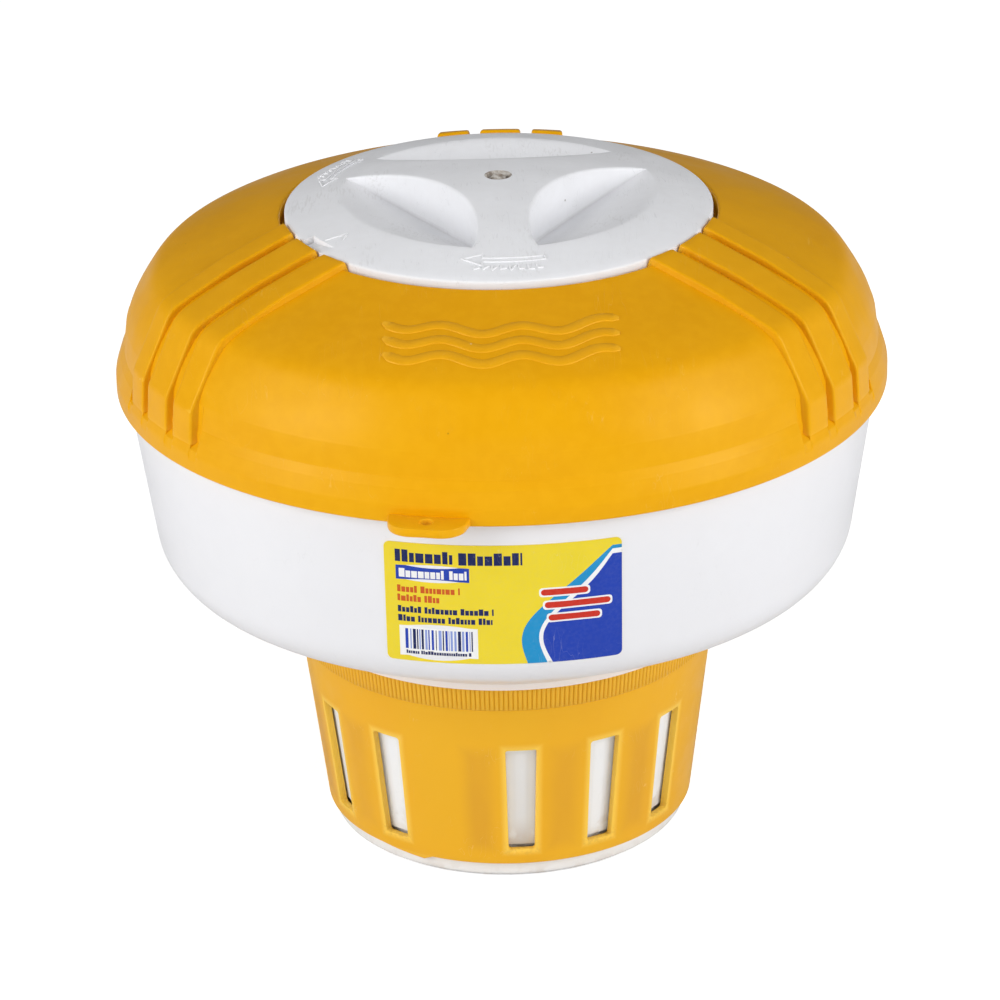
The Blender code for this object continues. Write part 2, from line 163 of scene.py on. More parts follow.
LID_R = lid_high.x
LID_CROWN = lid_high.z - LIP_Z
LID_SINK = 9.9               # how much lower the lid's edge is than its crown
LID_AZIMUTH = 2.0
THIRDS = (0.0, 120.0, 240.0)

FLOOR_GLOW = 0.58
WORLD_SIDE = 0.50
WORLD_TOP = 0.32
WORLD_MIRRORED = 0.12
LEFT_POWER = 19.0
RIGHT_POWER = 17.5
TOP_POWER = 1.0
FRONT_POWER = 3.8


# ------------------------------------------------------------------- outline tools
def rounded(corners, steps=6):
    """Points of an open or closed outline whose (radius, height, fillet) corners are rounded."""
    points = []
    count = len(corners)
    for i, corner in enumerate(corners):
        here = Vector(corner[:2])
        fillet = corner[2] if len(corner) > 2 else 0.0
        if not fillet:
            points.append(here)
            continue
        before = (Vector(corners[i - 1][:2]) - here).normalized()
        after = (Vector(corners[(i + 1) % count][:2]) - here).normalized()
        half = before.angle(after) / 2
        reach = fillet / math.tan(half)
        centre = here + (before + after).normalized() * (fillet / math.sin(half))
        start = here + before * reach - centre
        end = here + after * reach - centre
        turn = start.angle_signed(end)
        for step in range(steps + 1):
            spin = Matrix.Rotation(-turn * step / steps, 2)
            points.append(centre + spin @ start)
    return points


def round_box(left, first, right, last, fillet, steps):
    """A rectangle with rounded corners; it begins at its left corner on the first side."""
    return rounded([(left, first, fillet), (right, first, fillet), (right, last, fillet),
                    (left, last, fillet)], steps)


def curve_through(points, steps=8):
    """A smooth curve through points, by Catmull-Rom."""
    points = [Vector(p) for p in points]
    ends = [points[0] * 2 - points[1]] + points + [points[-1] * 2 - points[-2]]
    made = []
    for a, b, c, d in zip(ends, ends[1:], ends[2:], ends[3:]):
        for step in range(steps):
            t = step / steps
            made.append((b * 2 + (c - a) * t + (a * 2 - b * 5 + c * 4 - d) * t ** 2
                         + (b * 3 - a - c * 3 + d) * t ** 3) / 2)
    return made + [points[-1]]


def evenly(points, longest, fewest=1, whole=math.ceil):
    """The same open line in steps of about a length, their number made whole by a rule."""
    made = []
    for a, b in zip(points, points[1:]):
        steps = max(fewest, whole((b - a).length / longest))
        made += [a.lerp(b, step / steps) for step in range(steps)]
    return made + [points[-1]]


def normals(line):
    """The normal at each point of an open line, to the right of its run."""
    ends = zip([line[0]] + line[:-1], line[1:] + [line[-1]])
    runs = [(b - a).normalized() for a, b in ends]
    return [Vector((run.y, -run.x)) for run in runs]


def offset_curve(points, inward):
    """Move an open (radius, height) curve inward along its normals."""
    return [point + normal * inward for point, normal in zip(points, normals(points))]


def risen(corners):
    """The same corners with their rises turned into heights."""
    return [(radius, LIP_Z + rise, *fillet) for radius, rise, *fillet in corners]


def at(azimuth, radius, height):
    """The point at an azimuth, a radius and a height."""
    angle = math.radians(azimuth - 90.0)
    return Vector((radius * math.cos(angle), radius * math.sin(angle), height))


# ---------------------------------------------------------------------- mesh tools
class Shape:
    """Collects vertices and faces of one piece."""

    def __init__(self):
        self.verts = []
        self.faces = []

    def grid(self, rows, closed=False, looped=False):
        """Quads between equally long rows; closed joins a row's ends, looped the outer rows."""
        first = len(self.verts)
        wide = len(rows[0])
        for row in rows:
            self.verts += row
        last_row = len(rows) if looped else len(rows) - 1
        for i in range(last_row):
            a = first + i * wide
            b = first + (i + 1) % len(rows) * wide
            for j in range(wide if closed else wide - 1):
                k = (j + 1) % wide
                self.faces.append((a + j, a + k, b + k, b + j))
        return self

    def cap(self, loop):
        first = len(self.verts)
        self.verts += loop
        self.faces.append(tuple(range(first, first + len(loop))))
        return self

    def revolve(self, outline, segments=288, closed=True):
        """Spin a (radius, height) outline about the Z axis."""
        rows = [[at(360.0 * k / segments, p[0], p[1]) for k in range(segments)] for p in outline]
        return self.grid(rows, closed=True, looped=closed)

    def tube(self, loops):
        """A closed body from closed loops of equal length."""
        self.grid(loops, closed=True)
        self.cap(loops[0])
        return self.cap(loops[-1])

    def build(self, name, sharp=35.0):
        """Make a cleaned and smoothed object; edges steeper than sharp degrees stay sharp."""
        mesh = bpy.data.meshes.new(name)
        mesh.from_pydata([tuple(Vector(v) * MM) for v in self.verts], [], self.faces)
        bm = bmesh.new()
        bm.from_mesh(mesh)
        bmesh.ops.remove_doubles(bm, verts=bm.verts, dist=0.002 * MM)
        bmesh.ops.dissolve_degenerate(bm, edges=bm.edges, dist=0.0005 * MM)
        bmesh.ops.recalc_face_normals(bm, faces=bm.faces)
        bm.to_mesh(mesh)
        bm.free()
        mesh.shade_smooth()
        mesh.set_sharp_from_angle(angle=math.radians(sharp))
        made = bpy.data.objects.new(name, mesh)
        bpy.context.scene.collection.objects.link(made)
        return made


def joined_loops(loops):
    """Points and edges of closed loops, for a triangulation that keeps them."""
    points, edges = [], []
    for loop in loops:
        first = len(points)
        points += loop
        edges += [(first + k, first + (k + 1) % len(loop)) for k in range(len(loop))]
    return points, edges


def middle_of(points):
    return sum(points[1:], points[0].copy()) / len(points)


def inside_loop(spot, loop):
    crossings = 0
    for a, b in zip(loop, loop[1:] + loop[:1]):
        if (a.y > spot.y) != (b.y > spot.y):
            if spot.x < a.x + (b.x - a.x) * (spot.y - a.y) / (b.y - a.y):
                crossings += 1
    return crossings % 2 == 1


# ------------------------------------------------------------------------ materials
class Finish:
    """One material, built up from shader nodes: a colour, a roughness and a relief."""

    def __init__(self, name, colour, specular=0.4):
        self.material = bpy.data.materials.new(name)
        self.material.use_nodes = True
        self.tree = self.material.node_tree
        self.shader = self.tree.nodes["Principled BSDF"]
        self.set("Specular IOR Level", specular)
        self.where = self.node("ShaderNodeTexCoord").outputs["Object"]
        self.colour = (*colour, 1.0)
        self.rough = 0.6
        self.relief = 0.0

    def node(self, kind, **options):
        made = self.tree.nodes.new(kind)
        for option, value in options.items():
            setattr(made, option, value)
        return made

    def join(self, socket, value):
        if isinstance(value, bpy.types.NodeSocket):
            self.tree.links.new(value, socket)
        else:
            socket.default_value = value

    def set(self, socket, value):
        self.join(self.shader.inputs[socket], value)

    def maths(self, operation, *values):
        made = self.node("ShaderNodeMath", operation=operation)
        for socket, value in zip(made.inputs, values):
            self.join(socket, value)
        return made.outputs[0]

    def times(self, first, second):
        return self.maths("MULTIPLY", first, second)

    def minus(self, first, second):
        return self.maths("SUBTRACT", first, second)

    def span(self, value, low, high, to_low=0.0, to_high=1.0):
        """Bring a value from low..high to another range, clamped and eased."""
        made = self.node("ShaderNodeMapRange", interpolation_type="SMOOTHSTEP")
        for socket, given in zip(made.inputs, (value, low, high, to_low, to_high)):
            self.join(socket, given)
        return made.outputs["Result"]

    def placed(self, stretch=(1.0, 1.0, 1.0), turn=(0.0, 0.0, 0.0)):
        """Object coordinates, stretched and turned."""
        made = self.node("ShaderNodeMapping")
        self.join(made.inputs["Vector"], self.where)
        made.inputs["Scale"].default_value = stretch
        made.inputs["Rotation"].default_value = turn
        return made.outputs[0]

    def noise(self, scale, detail=3.0, vector=None):
        """Noise around 0.5; scale is in cells per metre."""
        made = self.node("ShaderNodeTexNoise")
        self.join(made.inputs["Vector"], vector or self.where)
        made.inputs["Scale"].default_value = scale
        made.inputs["Detail"].default_value = detail
        return made.outputs[0]

    def axis(self, letter):
        made = self.node("ShaderNodeSeparateXYZ")
        self.join(made.inputs[0], self.where)
        return made.outputs[letter]

    def geometry(self, output):
        return self.node("ShaderNodeNewGeometry").outputs[output]

    def tint(self, share, colour):
        """Lay a colour over what is there."""
        made = self.node("ShaderNodeMix", data_type="RGBA")
        self.join(made.inputs[0], share)
        self.join(made.inputs[6], self.colour)
        self.join(made.inputs[7], (*colour, 1.0))
        self.colour = made.outputs[2]

    def mottle(self, scale, colour, most, stretch=(1.0, 1.0, 1.0)):
        """Soft clouds of another colour."""
        cloud = self.noise(scale, 4.0, self.placed(stretch))
        self.tint(self.span(cloud, 0.35, 0.7, 0.0, most), colour)

    def specks(self, pitch, size, colour, share, most):
        """Scattered round spots; pitch and size in metres, share is how many cells have one."""
        cells = self.node("ShaderNodeTexVoronoi")
        self.join(cells.inputs["Vector"], self.where)
        cells.inputs["Scale"].default_value = 1.0 / pitch
        spot = self.span(cells.outputs["Distance"], 0.3 * size / pitch, size / pitch, most, 0.0)
        draw = self.node("ShaderNodeSeparateColor")
        self.join(draw.inputs[0], cells.outputs["Color"])
        chosen = self.maths("LESS_THAN", draw.outputs[0], share)
        self.tint(self.times(spot, chosen), colour)

    def scratches(self, scale, turn, width, most, colour):
        """Fine long lines in patches, which also cut into the relief."""
        lines = self.noise(scale * 2.2, 1.0, self.placed((1.0, 0.07, 0.3), turn))
        off = self.maths("ABSOLUTE", self.minus(lines, 0.5))
        patch = self.noise(scale * 0.45, 1.0, self.placed((0.6, 1.0, 1.0), turn))
        share = self.times(self.span(off, 0.0, width, most, 0.0), self.span(patch, 0.56, 0.66))
        self.raise_by(share, -0.5)
        self.tint(share, colour)

    def worn_edges(self, most, colour):
        """Another colour along convex edges."""
        self.tint(self.times(self.span(self.geometry("Pointiness"), 0.52, 0.62), most), colour)

    def uneven_gloss(self, scale, smooth, dull, detail=4.0):
        self.rough = self.span(self.noise(scale, detail), 0.3, 0.7, smooth, dull)

    def raise_by(self, value, amount):
        self.relief = self.maths("ADD", self.relief, self.times(value, amount))

    def done(self, grain, grain_height):
        """Add the finest grain, join everything to the shader and give the material."""
        self.raise_by(self.noise(grain, 2.0), grain_height)
        self.set("Base Color", self.colour)
        self.set("Roughness", self.rough)
        bump = self.node("ShaderNodeBump")
        bump.inputs["Distance"].default_value = 0.2 * MM
        self.join(bump.inputs["Height"], self.relief)
        self.set("Normal", bump.outputs[0])
        return self.material


def shades(colour, factor):
    """The same colour, lighter or darker."""
    return tuple(c * factor for c in colour)


def cover_plastic():
    """Satin yellow polypropylene: flow clouds, pale worn edges, dust and hairline scratches, with
    painted shade on the upper front of the dome.
    """
    look = Finish("cover_plastic", (0.81, 0.385, 0.0012), 0.35)
    look.set("Specular Tint", (1.0, 0.8, 0.3, 1.0))
    # painted shade: the upper front of the dome is darkened towards a deeper yellow
    high = look.span(look.axis("Z"), (LIP_Z + 30.0) * MM, (LIP_Z + 50.0) * MM, 0.0, 0.5)
    front = look.span(look.axis("Y"), -0.09, -0.02, 1.0, 0.0)
    look.tint(look.times(high, front), (0.73, 0.32, 0.001))
    look.mottle(18.0, (0.76, 0.335, 0.001), 0.45, (1.0, 1.0, 2.4))
    look.mottle(240.0, (0.87, 0.43, 0.005), 0.25)
    look.worn_edges(0.35, (0.92, 0.54, 0.06))
    look.scratches(140.0, (0.1, 0.2, 1.1), 0.006, 0.22, (0.95, 0.60, 0.14))
    look.scratches(190.0, (0.2, 0.1, 2.1), 0.005, 0.2, (0.95, 0.60, 0.14))
    look.specks(0.013, 0.0004, (0.95, 0.78, 0.42), 0.35, 0.8)
    look.specks(0.017, 0.0005, (0.28, 0.13, 0.01), 0.12, 0.7)
    look.uneven_gloss(60.0, 0.33, 0.45)
    return look.done(900.0, 0.10)


def azimuth_of(look):
    """Azimuth in degrees around the Z axis, 0 at the front."""
    angle = look.maths("ARCTAN2", look.axis("X"), look.times(look.axis("Y"), -1.0))
    return look.times(angle, 180.0 / math.pi)


def window_gap(look, shift):
    """Distance in mm outside the nearest window, whose row is turned by shift degrees."""
    first = WINDOW_AZIMUTHS[0] + shift
    turn = look.maths("FLOORED_MODULO", look.minus(azimuth_of(look), first), WINDOW_GROUP)
    nearest = look.maths("ROUND", look.maths("DIVIDE", turn, WINDOW_PITCH))
    nearest = look.maths("MINIMUM", nearest, 2.0)
    off = look.maths("ABSOLUTE", look.minus(turn, look.times(nearest, WINDOW_PITCH)))
    off = look.maths("MINIMUM", off, look.minus(WINDOW_GROUP, turn))
    mean_r = (SLEEVE_TOP_R + SLEEVE_FOOT_R) / 2
    side = look.minus(look.times(off, math.radians(mean_r)), sum(WINDOW_WIDTH) / 4)
    tall = look.maths("ABSOLUTE", look.minus(look.axis("Z"), sum(WINDOW_Z) / 2 * MM))
    above = look.minus(look.maths("DIVIDE", tall, MM), (WINDOW_Z[1] - WINDOW_Z[0]) / 2)
    return look.maths("MAXIMUM", side, above)


def shade_flute_valleys(look):
    """Painted shade in the valleys between the flutes of the sleeve's grip band."""
    flute = look.maths("SINE", look.times(azimuth_of(look), FLUTES * math.pi / 360.0))
    valley = look.span(look.maths("ABSOLUTE", flute), 0.1, 0.8, 0.38, 0.0)
    band = look.maths("GREATER_THAN", look.axis("Z"), (SLEEVE_TOP_Z - KNURL_TALL) * MM)
    look.tint(look.times(valley, band), (0.62, 0.28, 0.004))


def shade_over_slots(look):
    """Painted shade: darker bands where the canister's slots are behind the translucent sleeve."""
    behind = look.span(window_gap(look, SLOT_SHIFT), -3.5, 3.0, 0.75, 0.0)
    streaks = look.noise(70.0, 2.0, look.placed((1.0, 1.0, 0.3)))
    patchy = look.span(streaks, 0.3, 0.7, 0.55, 1.0)
    look.tint(look.times(behind, patchy), (0.69, 0.33, 0.018))


def sleeve_plastic():
    """Thinner yellow plastic: a painted glow around the windows, painted shade in the flutes and over
    the canister's slots, and stains at the windows' sills.
    """
    look = Finish("sleeve_plastic", (0.83, 0.43, 0.011), 0.3)
    look.mottle(30.0, (0.80, 0.38, 0.008), 0.45, (1.0, 1.0, 0.4))
    shade_flute_valleys(look)
    shade_over_slots(look)
    gap = window_gap(look, 0.0)
    # painted glow: the sleeve is lightened to a paler yellow near each window's edge
    look.tint(look.span(gap, 0.2, 2.8, 0.65, 0.0), (0.98, 0.66, 0.10))
    look.worn_edges(0.4, (0.98, 0.66, 0.12))
    low = look.span(look.axis("Z"), 0.011, 0.018, 1.0, 0.0)
    stain = look.times(look.span(gap, 0.0, 3.0, 1.0, 0.0), low)
    stain = look.times(stain, look.span(look.noise(900.0, 4.0), 0.4, 0.7))
    look.tint(look.times(stain, 0.25), (0.36, 0.17, 0.04))
    look.scratches(200.0, (0.2, 1.2, 0.4), 0.007, 0.3, (0.98, 0.70, 0.25))
    look.specks(0.011, 0.0004, (0.34, 0.17, 0.02), 0.2, 0.6)
    look.uneven_gloss(90.0, 0.36, 0.5)
    return look.done(1100.0, 0.10)


def white_plastic(name, colour, stain_low=None, dirt=0.15):
    """White polypropylene with faint clouds, handling marks and a little dirt, a painted warm
    reflection of the sleeve near the bowl's neck and, where stains are asked for, painted shade at the
    windows' edges.
    """
    look = Finish(name, colour, 0.35)
    look.mottle(14.0, shades(colour, 0.95), 0.5, (1.0, 1.0, 0.5))
    look.mottle(160.0, shades(colour, 0.97), 0.4)
    look.worn_edges(0.3, (0.93, 0.93, 0.93))
    look.scratches(120.0, (0.2, 0.4, 1.2), 0.005, 0.18, (0.62, 0.62, 0.64))
    look.scratches(170.0, (0.3, 0.3, 2.0), 0.005, 0.15, (0.62, 0.62, 0.64))
    look.specks(0.014, 0.0004, (0.30, 0.27, 0.24), dirt, 0.6)
    # painted reflection: a warm tint of the yellow sleeve on the bowl's neck, just above the sleeve
    neck = look.span(look.axis("Z"), bowl_low.z * MM, (bowl_low.z + 9.0) * MM, 1.0, 0.0)
    neck = look.times(neck, look.maths("GREATER_THAN", look.axis("Z"), SLEEVE_TOP_Z * MM))
    look.tint(look.times(neck, 0.5), (0.95, 0.78, 0.62))
    if stain_low:
        low = look.span(look.axis("Z"), stain_low[0] * MM, stain_low[1] * MM, 1.0, 0.0)
        patches = look.span(look.noise(160.0, 4.0), 0.47, 0.62)
        look.tint(look.times(look.times(low, patches), 0.5), (0.42, 0.30, 0.18))
        # painted shade: outside the middle of each window the white is darkened, so the canister shows
        # grey at the edges of the sleeve's windows
        jamb_shade = look.span(window_gap(look, 0.0), -3.4, -2.4, 0.0, 0.3)
        look.tint(jamb_shade, shades(colour, 0.86))
    look.uneven_gloss(70.0, 0.3, 0.44)
    return look.done(1000.0, 0.09)


def lid_plastic():
    """Greyer, duller white: scuffed top, rubbed rim, painted shade in its hollows and a few specks of
    dirt.
    """
    look = Finish("lid_plastic", (0.875, 0.88, 0.905), 0.3)
    look.mottle(35.0, (0.82, 0.825, 0.845), 0.5)
    look.mottle(300.0, (0.84, 0.84, 0.86), 0.45)
    # painted shade: concave places, found by pointiness, are darkened towards grey
    hollow = look.span(look.geometry("Pointiness"), 0.44, 0.5, 1.0, 0.0)
    look.tint(look.times(hollow, 0.3), (0.45, 0.44, 0.43))
    look.worn_edges(0.5, (0.88, 0.88, 0.89))
    for turn in ((0.1, 0.0, 0.4), (0.0, 0.1, 1.3), (0.1, 0.1, 2.5)):
        look.scratches(230.0, turn, 0.008, 0.3, (0.56, 0.56, 0.58))
    rubbed = look.noise(1300.0, 2.0, look.placed((1.0, 0.14, 1.0), (0.0, 0.0, 0.9)))
    scuff = look.times(look.span(look.noise(45.0, 2.0), 0.55, 0.68), look.span(rubbed, 0.5, 0.65))
    look.tint(look.times(scuff, 0.25), (0.58, 0.57, 0.56))
    look.specks(0.010, 0.0005, (0.22, 0.19, 0.16), 0.16, 0.7)
    look.uneven_gloss(80.0, 0.36, 0.55)
    return look.done(1300.0, 0.14)


def gate_plastic():
    """Torn, browned plastic of the moulding gate."""
    look = Finish("gate_plastic", (0.60, 0.57, 0.53), 0.3)
    look.mottle(500.0, (0.22, 0.17, 0.13), 0.9)
    return look.done(1500.0, 0.6)


def rubber_finish():
    """Matt black rubber with a bloom of pale dust."""
    look = Finish("seal_rubber", (0.035, 0.035, 0.038))
    look.mottle(220.0, (0.11, 0.11, 0.11), 0.6)
    look.worn_edges(0.4, (0.16, 0.16, 0.16))
    look.uneven_gloss(300.0, 0.55, 0.85, 3.0)
    return look.done(2500.0, 0.3)


def silicone_finish():
    """Milky silicone, slightly see-through, with lint on it."""
    look = Finish("gasket_silicone", (0.72, 0.71, 0.67))
    look.mottle(120.0, (0.60, 0.58, 0.53), 0.5)
    look.specks(0.006, 0.0004, (0.30, 0.26, 0.22), 0.25, 0.6)
    look.uneven_gloss(250.0, 0.38, 0.6, 3.0)
    look.set("Subsurface Weight", 0.3)
    look.set("Subsurface Radius", (1.0, 0.9, 0.8))
    look.set("Subsurface Scale", 0.002)
    return look.done(1800.0, 0.2)


def ink(name, colour):
    """Printed film: even ink with fine dots, a few rubbed places and a soft gloss."""
    look = Finish(name, colour, 0.2)
    look.mottle(900.0, tuple(min(1.0, c * 0.9 + 0.04) for c in colour), 0.4)
    look.mottle(60.0, shades(colour, 0.93), 0.5)
    look.scratches(160.0, (0.5, 0.2, 1.6), 0.004, 0.15, (0.8, 0.8, 0.78))
    look.uneven_gloss(110.0, 0.3, 0.42, 3.0)
    return look.done(1400.0, 0.06)


def paper_finish():
    """Pale seamless backdrop with a faint tooth, lit for the eye and open from below."""
    look = Finish("floor_paper", (0.80, 0.80, 0.80), 0.1)
    look.mottle(4.0, (0.785, 0.785, 0.79), 0.5)
    look.set("Emission Color", (1.0, 1.0, 1.0, 1.0))
    seen = look.node("ShaderNodeLightPath").outputs["Is Camera Ray"]
    look.set("Emission Strength", look.times(seen, FLOOR_GLOW))
    look.set("Alpha", look.minus(1.0, look.geometry("Backfacing")))
    look.uneven_gloss(30.0, 0.85, 0.95, 3.0)
    return look.done(500.0, 0.05)


def place(piece, materials, body, node):
    """Give a piece its materials and its body, and hide the CAD node that it stands for."""
    for material in materials:
        piece.data.materials.append(material)
    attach(piece, body)
    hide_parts(node)


# --------------------------------------------------------------------------- bowl
def bowl_outline():
    """Down the outside from the rim, around the neck's foot and back up the inside."""
    neck_z = bowl_low.z
    neck_in_r = NECK_R - NECK_WALL
    neck = [(NECK_R, neck_z), (neck_in_r, neck_z), (neck_in_r, neck_z + 4.4), (73.0, neck_z + 5.0)]
    return rounded(risen(BOWL_OUTSIDE) + neck + risen(BOWL_INSIDE), 10)


BOWL_LINE = bowl_outline()


def make_bowl():
    """White bowl: conical wall, rounded corner, sloping floor and a short neck."""
    return Shape().revolve(BOWL_LINE).build("bowl_shell")


# -------------------------------------------------------------------------- cover
DOME_LINE = curve_through(DOME)


def groove_turns():
    """Azimuth spans between and beside the ribs, where the lip band is cut lower."""
    spans = []
    for group in RIB_GROUPS:
        sides = [edge for pair in RIB_EDGES for edge in pair]
        beside = [sides[0] - GROOVE_BESIDE] + sides + [sides[-1] + GROOVE_BESIDE]
        for left, right in zip(beside[::2], beside[1::2]):
            spans.append((group + math.degrees(math.asin((left - 0.2) / LIP_R)),
                          group + math.degrees(math.asin((right + 0.2) / LIP_R))))
    return spans


def cover_outlines():
    """The cover's closed outline, plain and where a groove cuts its lip; equally many points."""
    inside = [Vector((p.x, LIP_Z + p.y)) for p in offset_curve(DOME_LINE[4:], WALL)[::-1]]
    outside = [Vector((p.x, LIP_Z + p.y)) for p in DOME_LINE[1:]]
    under = risen([(LIP_R, 0.0, 0.7), (LIP_R - 3.0, 0.0), (LIP_R - 3.0, LIP_TALL - 0.1)])
    under.append(inside[0])
    throat = rounded([inside[-1]] + risen([
        (OPENING_R + WALL, SEAT_RISE - WALL), (COLLAR_R, SEAT_RISE - WALL), (COLLAR_R, COLLAR_RISE),
        (THROAT_R, COLLAR_RISE, 0.5), (THROAT_R, SEAT_RISE, 0.5), (OPENING_R, SEAT_RISE),
        (OPENING_R, OPENING_RISE, 0.6)]) + [outside[0]])
    lips = [rounded([outside[-1]] + risen(edge) + under) for edge in (LIP_EDGE, GROOVE_EDGE)]
    return [outside + lip[1:-1] + inside + throat[1:-1] for lip in lips]


def cover_turns():
    """Azimuths of the cover's columns, and whether each is inside a groove."""
    grooves = groove_turns()
    turns = {float(k): False for k in range(-180, 180)}
    for low, high in grooves:
        for turn, inner in ((low - 0.15, False), (low, True), (high, True), (high + 0.15, False)):
            turns[round((turn + 180.0) % 360.0 - 180.0, 3)] = inner
    return [(turn, turns[turn] or any(low < turn + full < high for low, high in grooves
                                      for full in (0.0, 360.0))) for turn in sorted(turns)]


def make_cover():
    """Yellow cover: dome, steep band, lip band and throat collar."""
    plain, grooved = cover_outlines()
    columns = [(turn, grooved if deep else plain) for turn, deep in cover_turns()]
    rows = [[at(turn, line[k].x, line[k].y) for turn, line in columns] for k in range(len(plain))]
    return Shape().grid(rows, closed=True, looped=True).build("float_cover", 28.0)


def rib_section(half):
    """(Side, depth) points across a rib: flared flanks, rounded edges and a finely cut flat top."""
    section = rounded([(-half - 0.3, RIB_DEEP), (-half, 0.0, RIB_ROUND),
                       (half, 0.0, RIB_ROUND), (half + 0.3, RIB_DEEP)], 5)
    top = len(section) // 2
    flat = [section[top - 1].lerp(section[top], step / 6) for step in range(1, 6)]
    return section[:top] + flat + section[top:]


def rib_row(top, root, section, shift, squeeze):
    """One cross-section of a rib; squeeze narrows and lowers it where its end is rounded."""
    row = []
    for side, deep in section:
        point = top + (root - top) * (min(deep + squeeze, RIB_DEEP) / RIB_DEEP)
        wide = side - math.copysign(min(squeeze, abs(side)), side) + shift
        row.append(Vector((wide, -math.sqrt(point.x ** 2 - wide ** 2), LIP_Z + point.y)))
    return row


def rib_crest(end_steps):
    """Points along a rib's crest, the first few closer together for its rounded end."""
    crest = evenly(rounded(RIB_CREST), 3.0)
    along = (crest[1] - crest[0]).normalized()
    ends = [1.0 - math.cos(math.pi / 2 * step / end_steps) for step in range(end_steps)]
    return [crest[0] + along * (RIB_ROUND * end) for end in ends] + crest[1:]


def make_ribs():
    """Nine straight flat-topped ribs in three groups, their roots buried in the dome."""
    end_steps = 5
    crest = rib_crest(end_steps)
    roots = offset_curve(crest, RIB_DEEP)
    squeezes = [RIB_ROUND * (1.0 - math.sin(math.pi / 2 * min(1.0, station / end_steps)))
                for station in range(len(crest))]
    shape = Shape()
    for group in RIB_GROUPS:
        turn = Matrix.Rotation(math.radians(group), 3, "Z")
        for low, high in RIB_EDGES:
            section = rib_section((high - low) / 2)
            rows = [rib_row(point, root, section, (low + high) / 2, squeeze)
                    for point, root, squeeze in zip(crest, roots, squeezes)]
            shape.tube([[turn @ point for point in row] for row in rows])
    return shape.build("cover_ribs", 40.0)


def arc_body(shape, azimuths, radii, heights, fillet=0.5):
    """A closed body with a rounded rectangular section that follows an arc."""
    start, end = azimuths
    section = round_box(radii[0], heights[0], radii[1], heights[1], fillet, 3)
    steps = max(2, round(abs(end - start)))
    shape.tube([[at(start + (end - start) * step / steps, p[0], p[1]) for p in section]
                for step in range(steps + 1)])


def make_bayonet():
    """Ledge in three arcs that the lid locks under, and the stops that end its turn."""
    seat = LIP_Z + SEAT_RISE
    outer = THROAT_R + 0.8
    shape = Shape()
    for third in THIRDS:
        gap = LID_AZIMUTH + third
        ledge, stop = ([gap + turn for turn in span] for span in (LEDGE_SPAN, STOP_SPAN))
        arc_body(shape, ledge, (LEDGE_R, outer), (seat - LEDGE_THICK, seat - 0.05))
        arc_body(shape, stop, (THROAT_R - 2.6, outer), [seat - drop for drop in STOP_DROPS])
    return shape.build("bayonet_ledge")


def tab_outline():
    """Plan of the tab around its hole, out towards +Y."""
    inner = LIP_R - 2.0 - TETHER_HOLE_AT
    outer = TAB_R - TETHER_HOLE_AT
    half = TAB_HALF_WIDTH
    return rounded([(-half - 1.2, inner), (-half + 0.4, outer, TAB_FILLET),
                    (half - 0.4, outer, TAB_FILLET), (half + 1.2, inner)], 12)


def make_tab():
    """Rounded tab with a hole for the tether cord, on the lip."""
    plan = tab_outline()
    angles = [math.tau * k / 96 for k in range(96)]
    bevel = TAB_EDGE * 0.3
    loops = []
    for inset, height in ((TAB_EDGE, 0.0), (bevel, bevel), (0.0, TAB_EDGE),
                          (0.0, TAB_THICK - TAB_EDGE), (bevel, TAB_THICK - bevel),
                          (TAB_EDGE, TAB_THICK)):
        loops.append([(*ray_to_outline(plan, angle, inset), height) for angle in angles])
    for grow, height in ((0.4, TAB_THICK), (0.0, TAB_THICK - 0.4), (0.0, 0.4), (0.4, 0.0)):
        radius = TETHER_HOLE_R + grow
        loops.append([(radius * math.cos(angle), radius * math.sin(angle), height)
                      for angle in angles])
    turn = Matrix.Rotation(math.radians(TAB_AZIMUTH), 3, "Z")
    loops = [[turn @ Vector((x, -y - TETHER_HOLE_AT, LIP_Z + z)) for x, y, z in loop]
             for loop in loops]
    return Shape().grid(loops, closed=True, looped=True).build("tether_tab")


def ray_to_outline(outline, angle, inset):
    """Where a ray from the origin meets a closed outline, moved back by an inset."""
    aim = Vector((math.cos(angle), math.sin(angle)))
    best = 0.0
    for i, a in enumerate(outline):
        edge = outline[(i + 1) % len(outline)] - a
        cross = aim.x * edge.y - aim.y * edge.x
        if abs(cross) < 1e-9:
            continue
        reach = (a.x * edge.y - a.y * edge.x) / cross
        share = (a.x * aim.y - a.y * aim.x) / cross
        if reach > 0 and -1e-6 <= share <= 1 + 1e-6:
            best = max(best, reach)
    return aim * (best - inset)


def dome_rise(radius):
    """Rise of the dome's surface at a radius."""
    for a, b in zip(DOME_LINE, DOME_LINE[1:]):
        if a.x <= radius <= b.x:
            return a.y + (b.y - a.y) * (radius - a.x) / (b.x - a.x)
    return DOME_LINE[-1].y


def ridge(shape, line, surface, width, height, sink):
    """A low rounded ridge along a plan-view line, lying on a surface."""
    loops = []
    for i, (point, normal) in enumerate(zip(line, normals(line))):
        end = min(i, len(line) - 1 - i)
        full = min(1.0, 0.35 + 0.65 * end / 2) if len(line) > 6 else 1.0
        loop = []
        for side, tall in ((-0.5, -sink), (-0.5, 0.4 * height), (-0.42, height), (0.42, height),
                           (0.5, 0.4 * height), (0.5, -sink)):
            spot = point - normal * (side * width * full)
            loop.append(Vector((spot.x, spot.y, surface(spot.length) + tall)))
        loops.append(loop)
    shape.tube(loops)


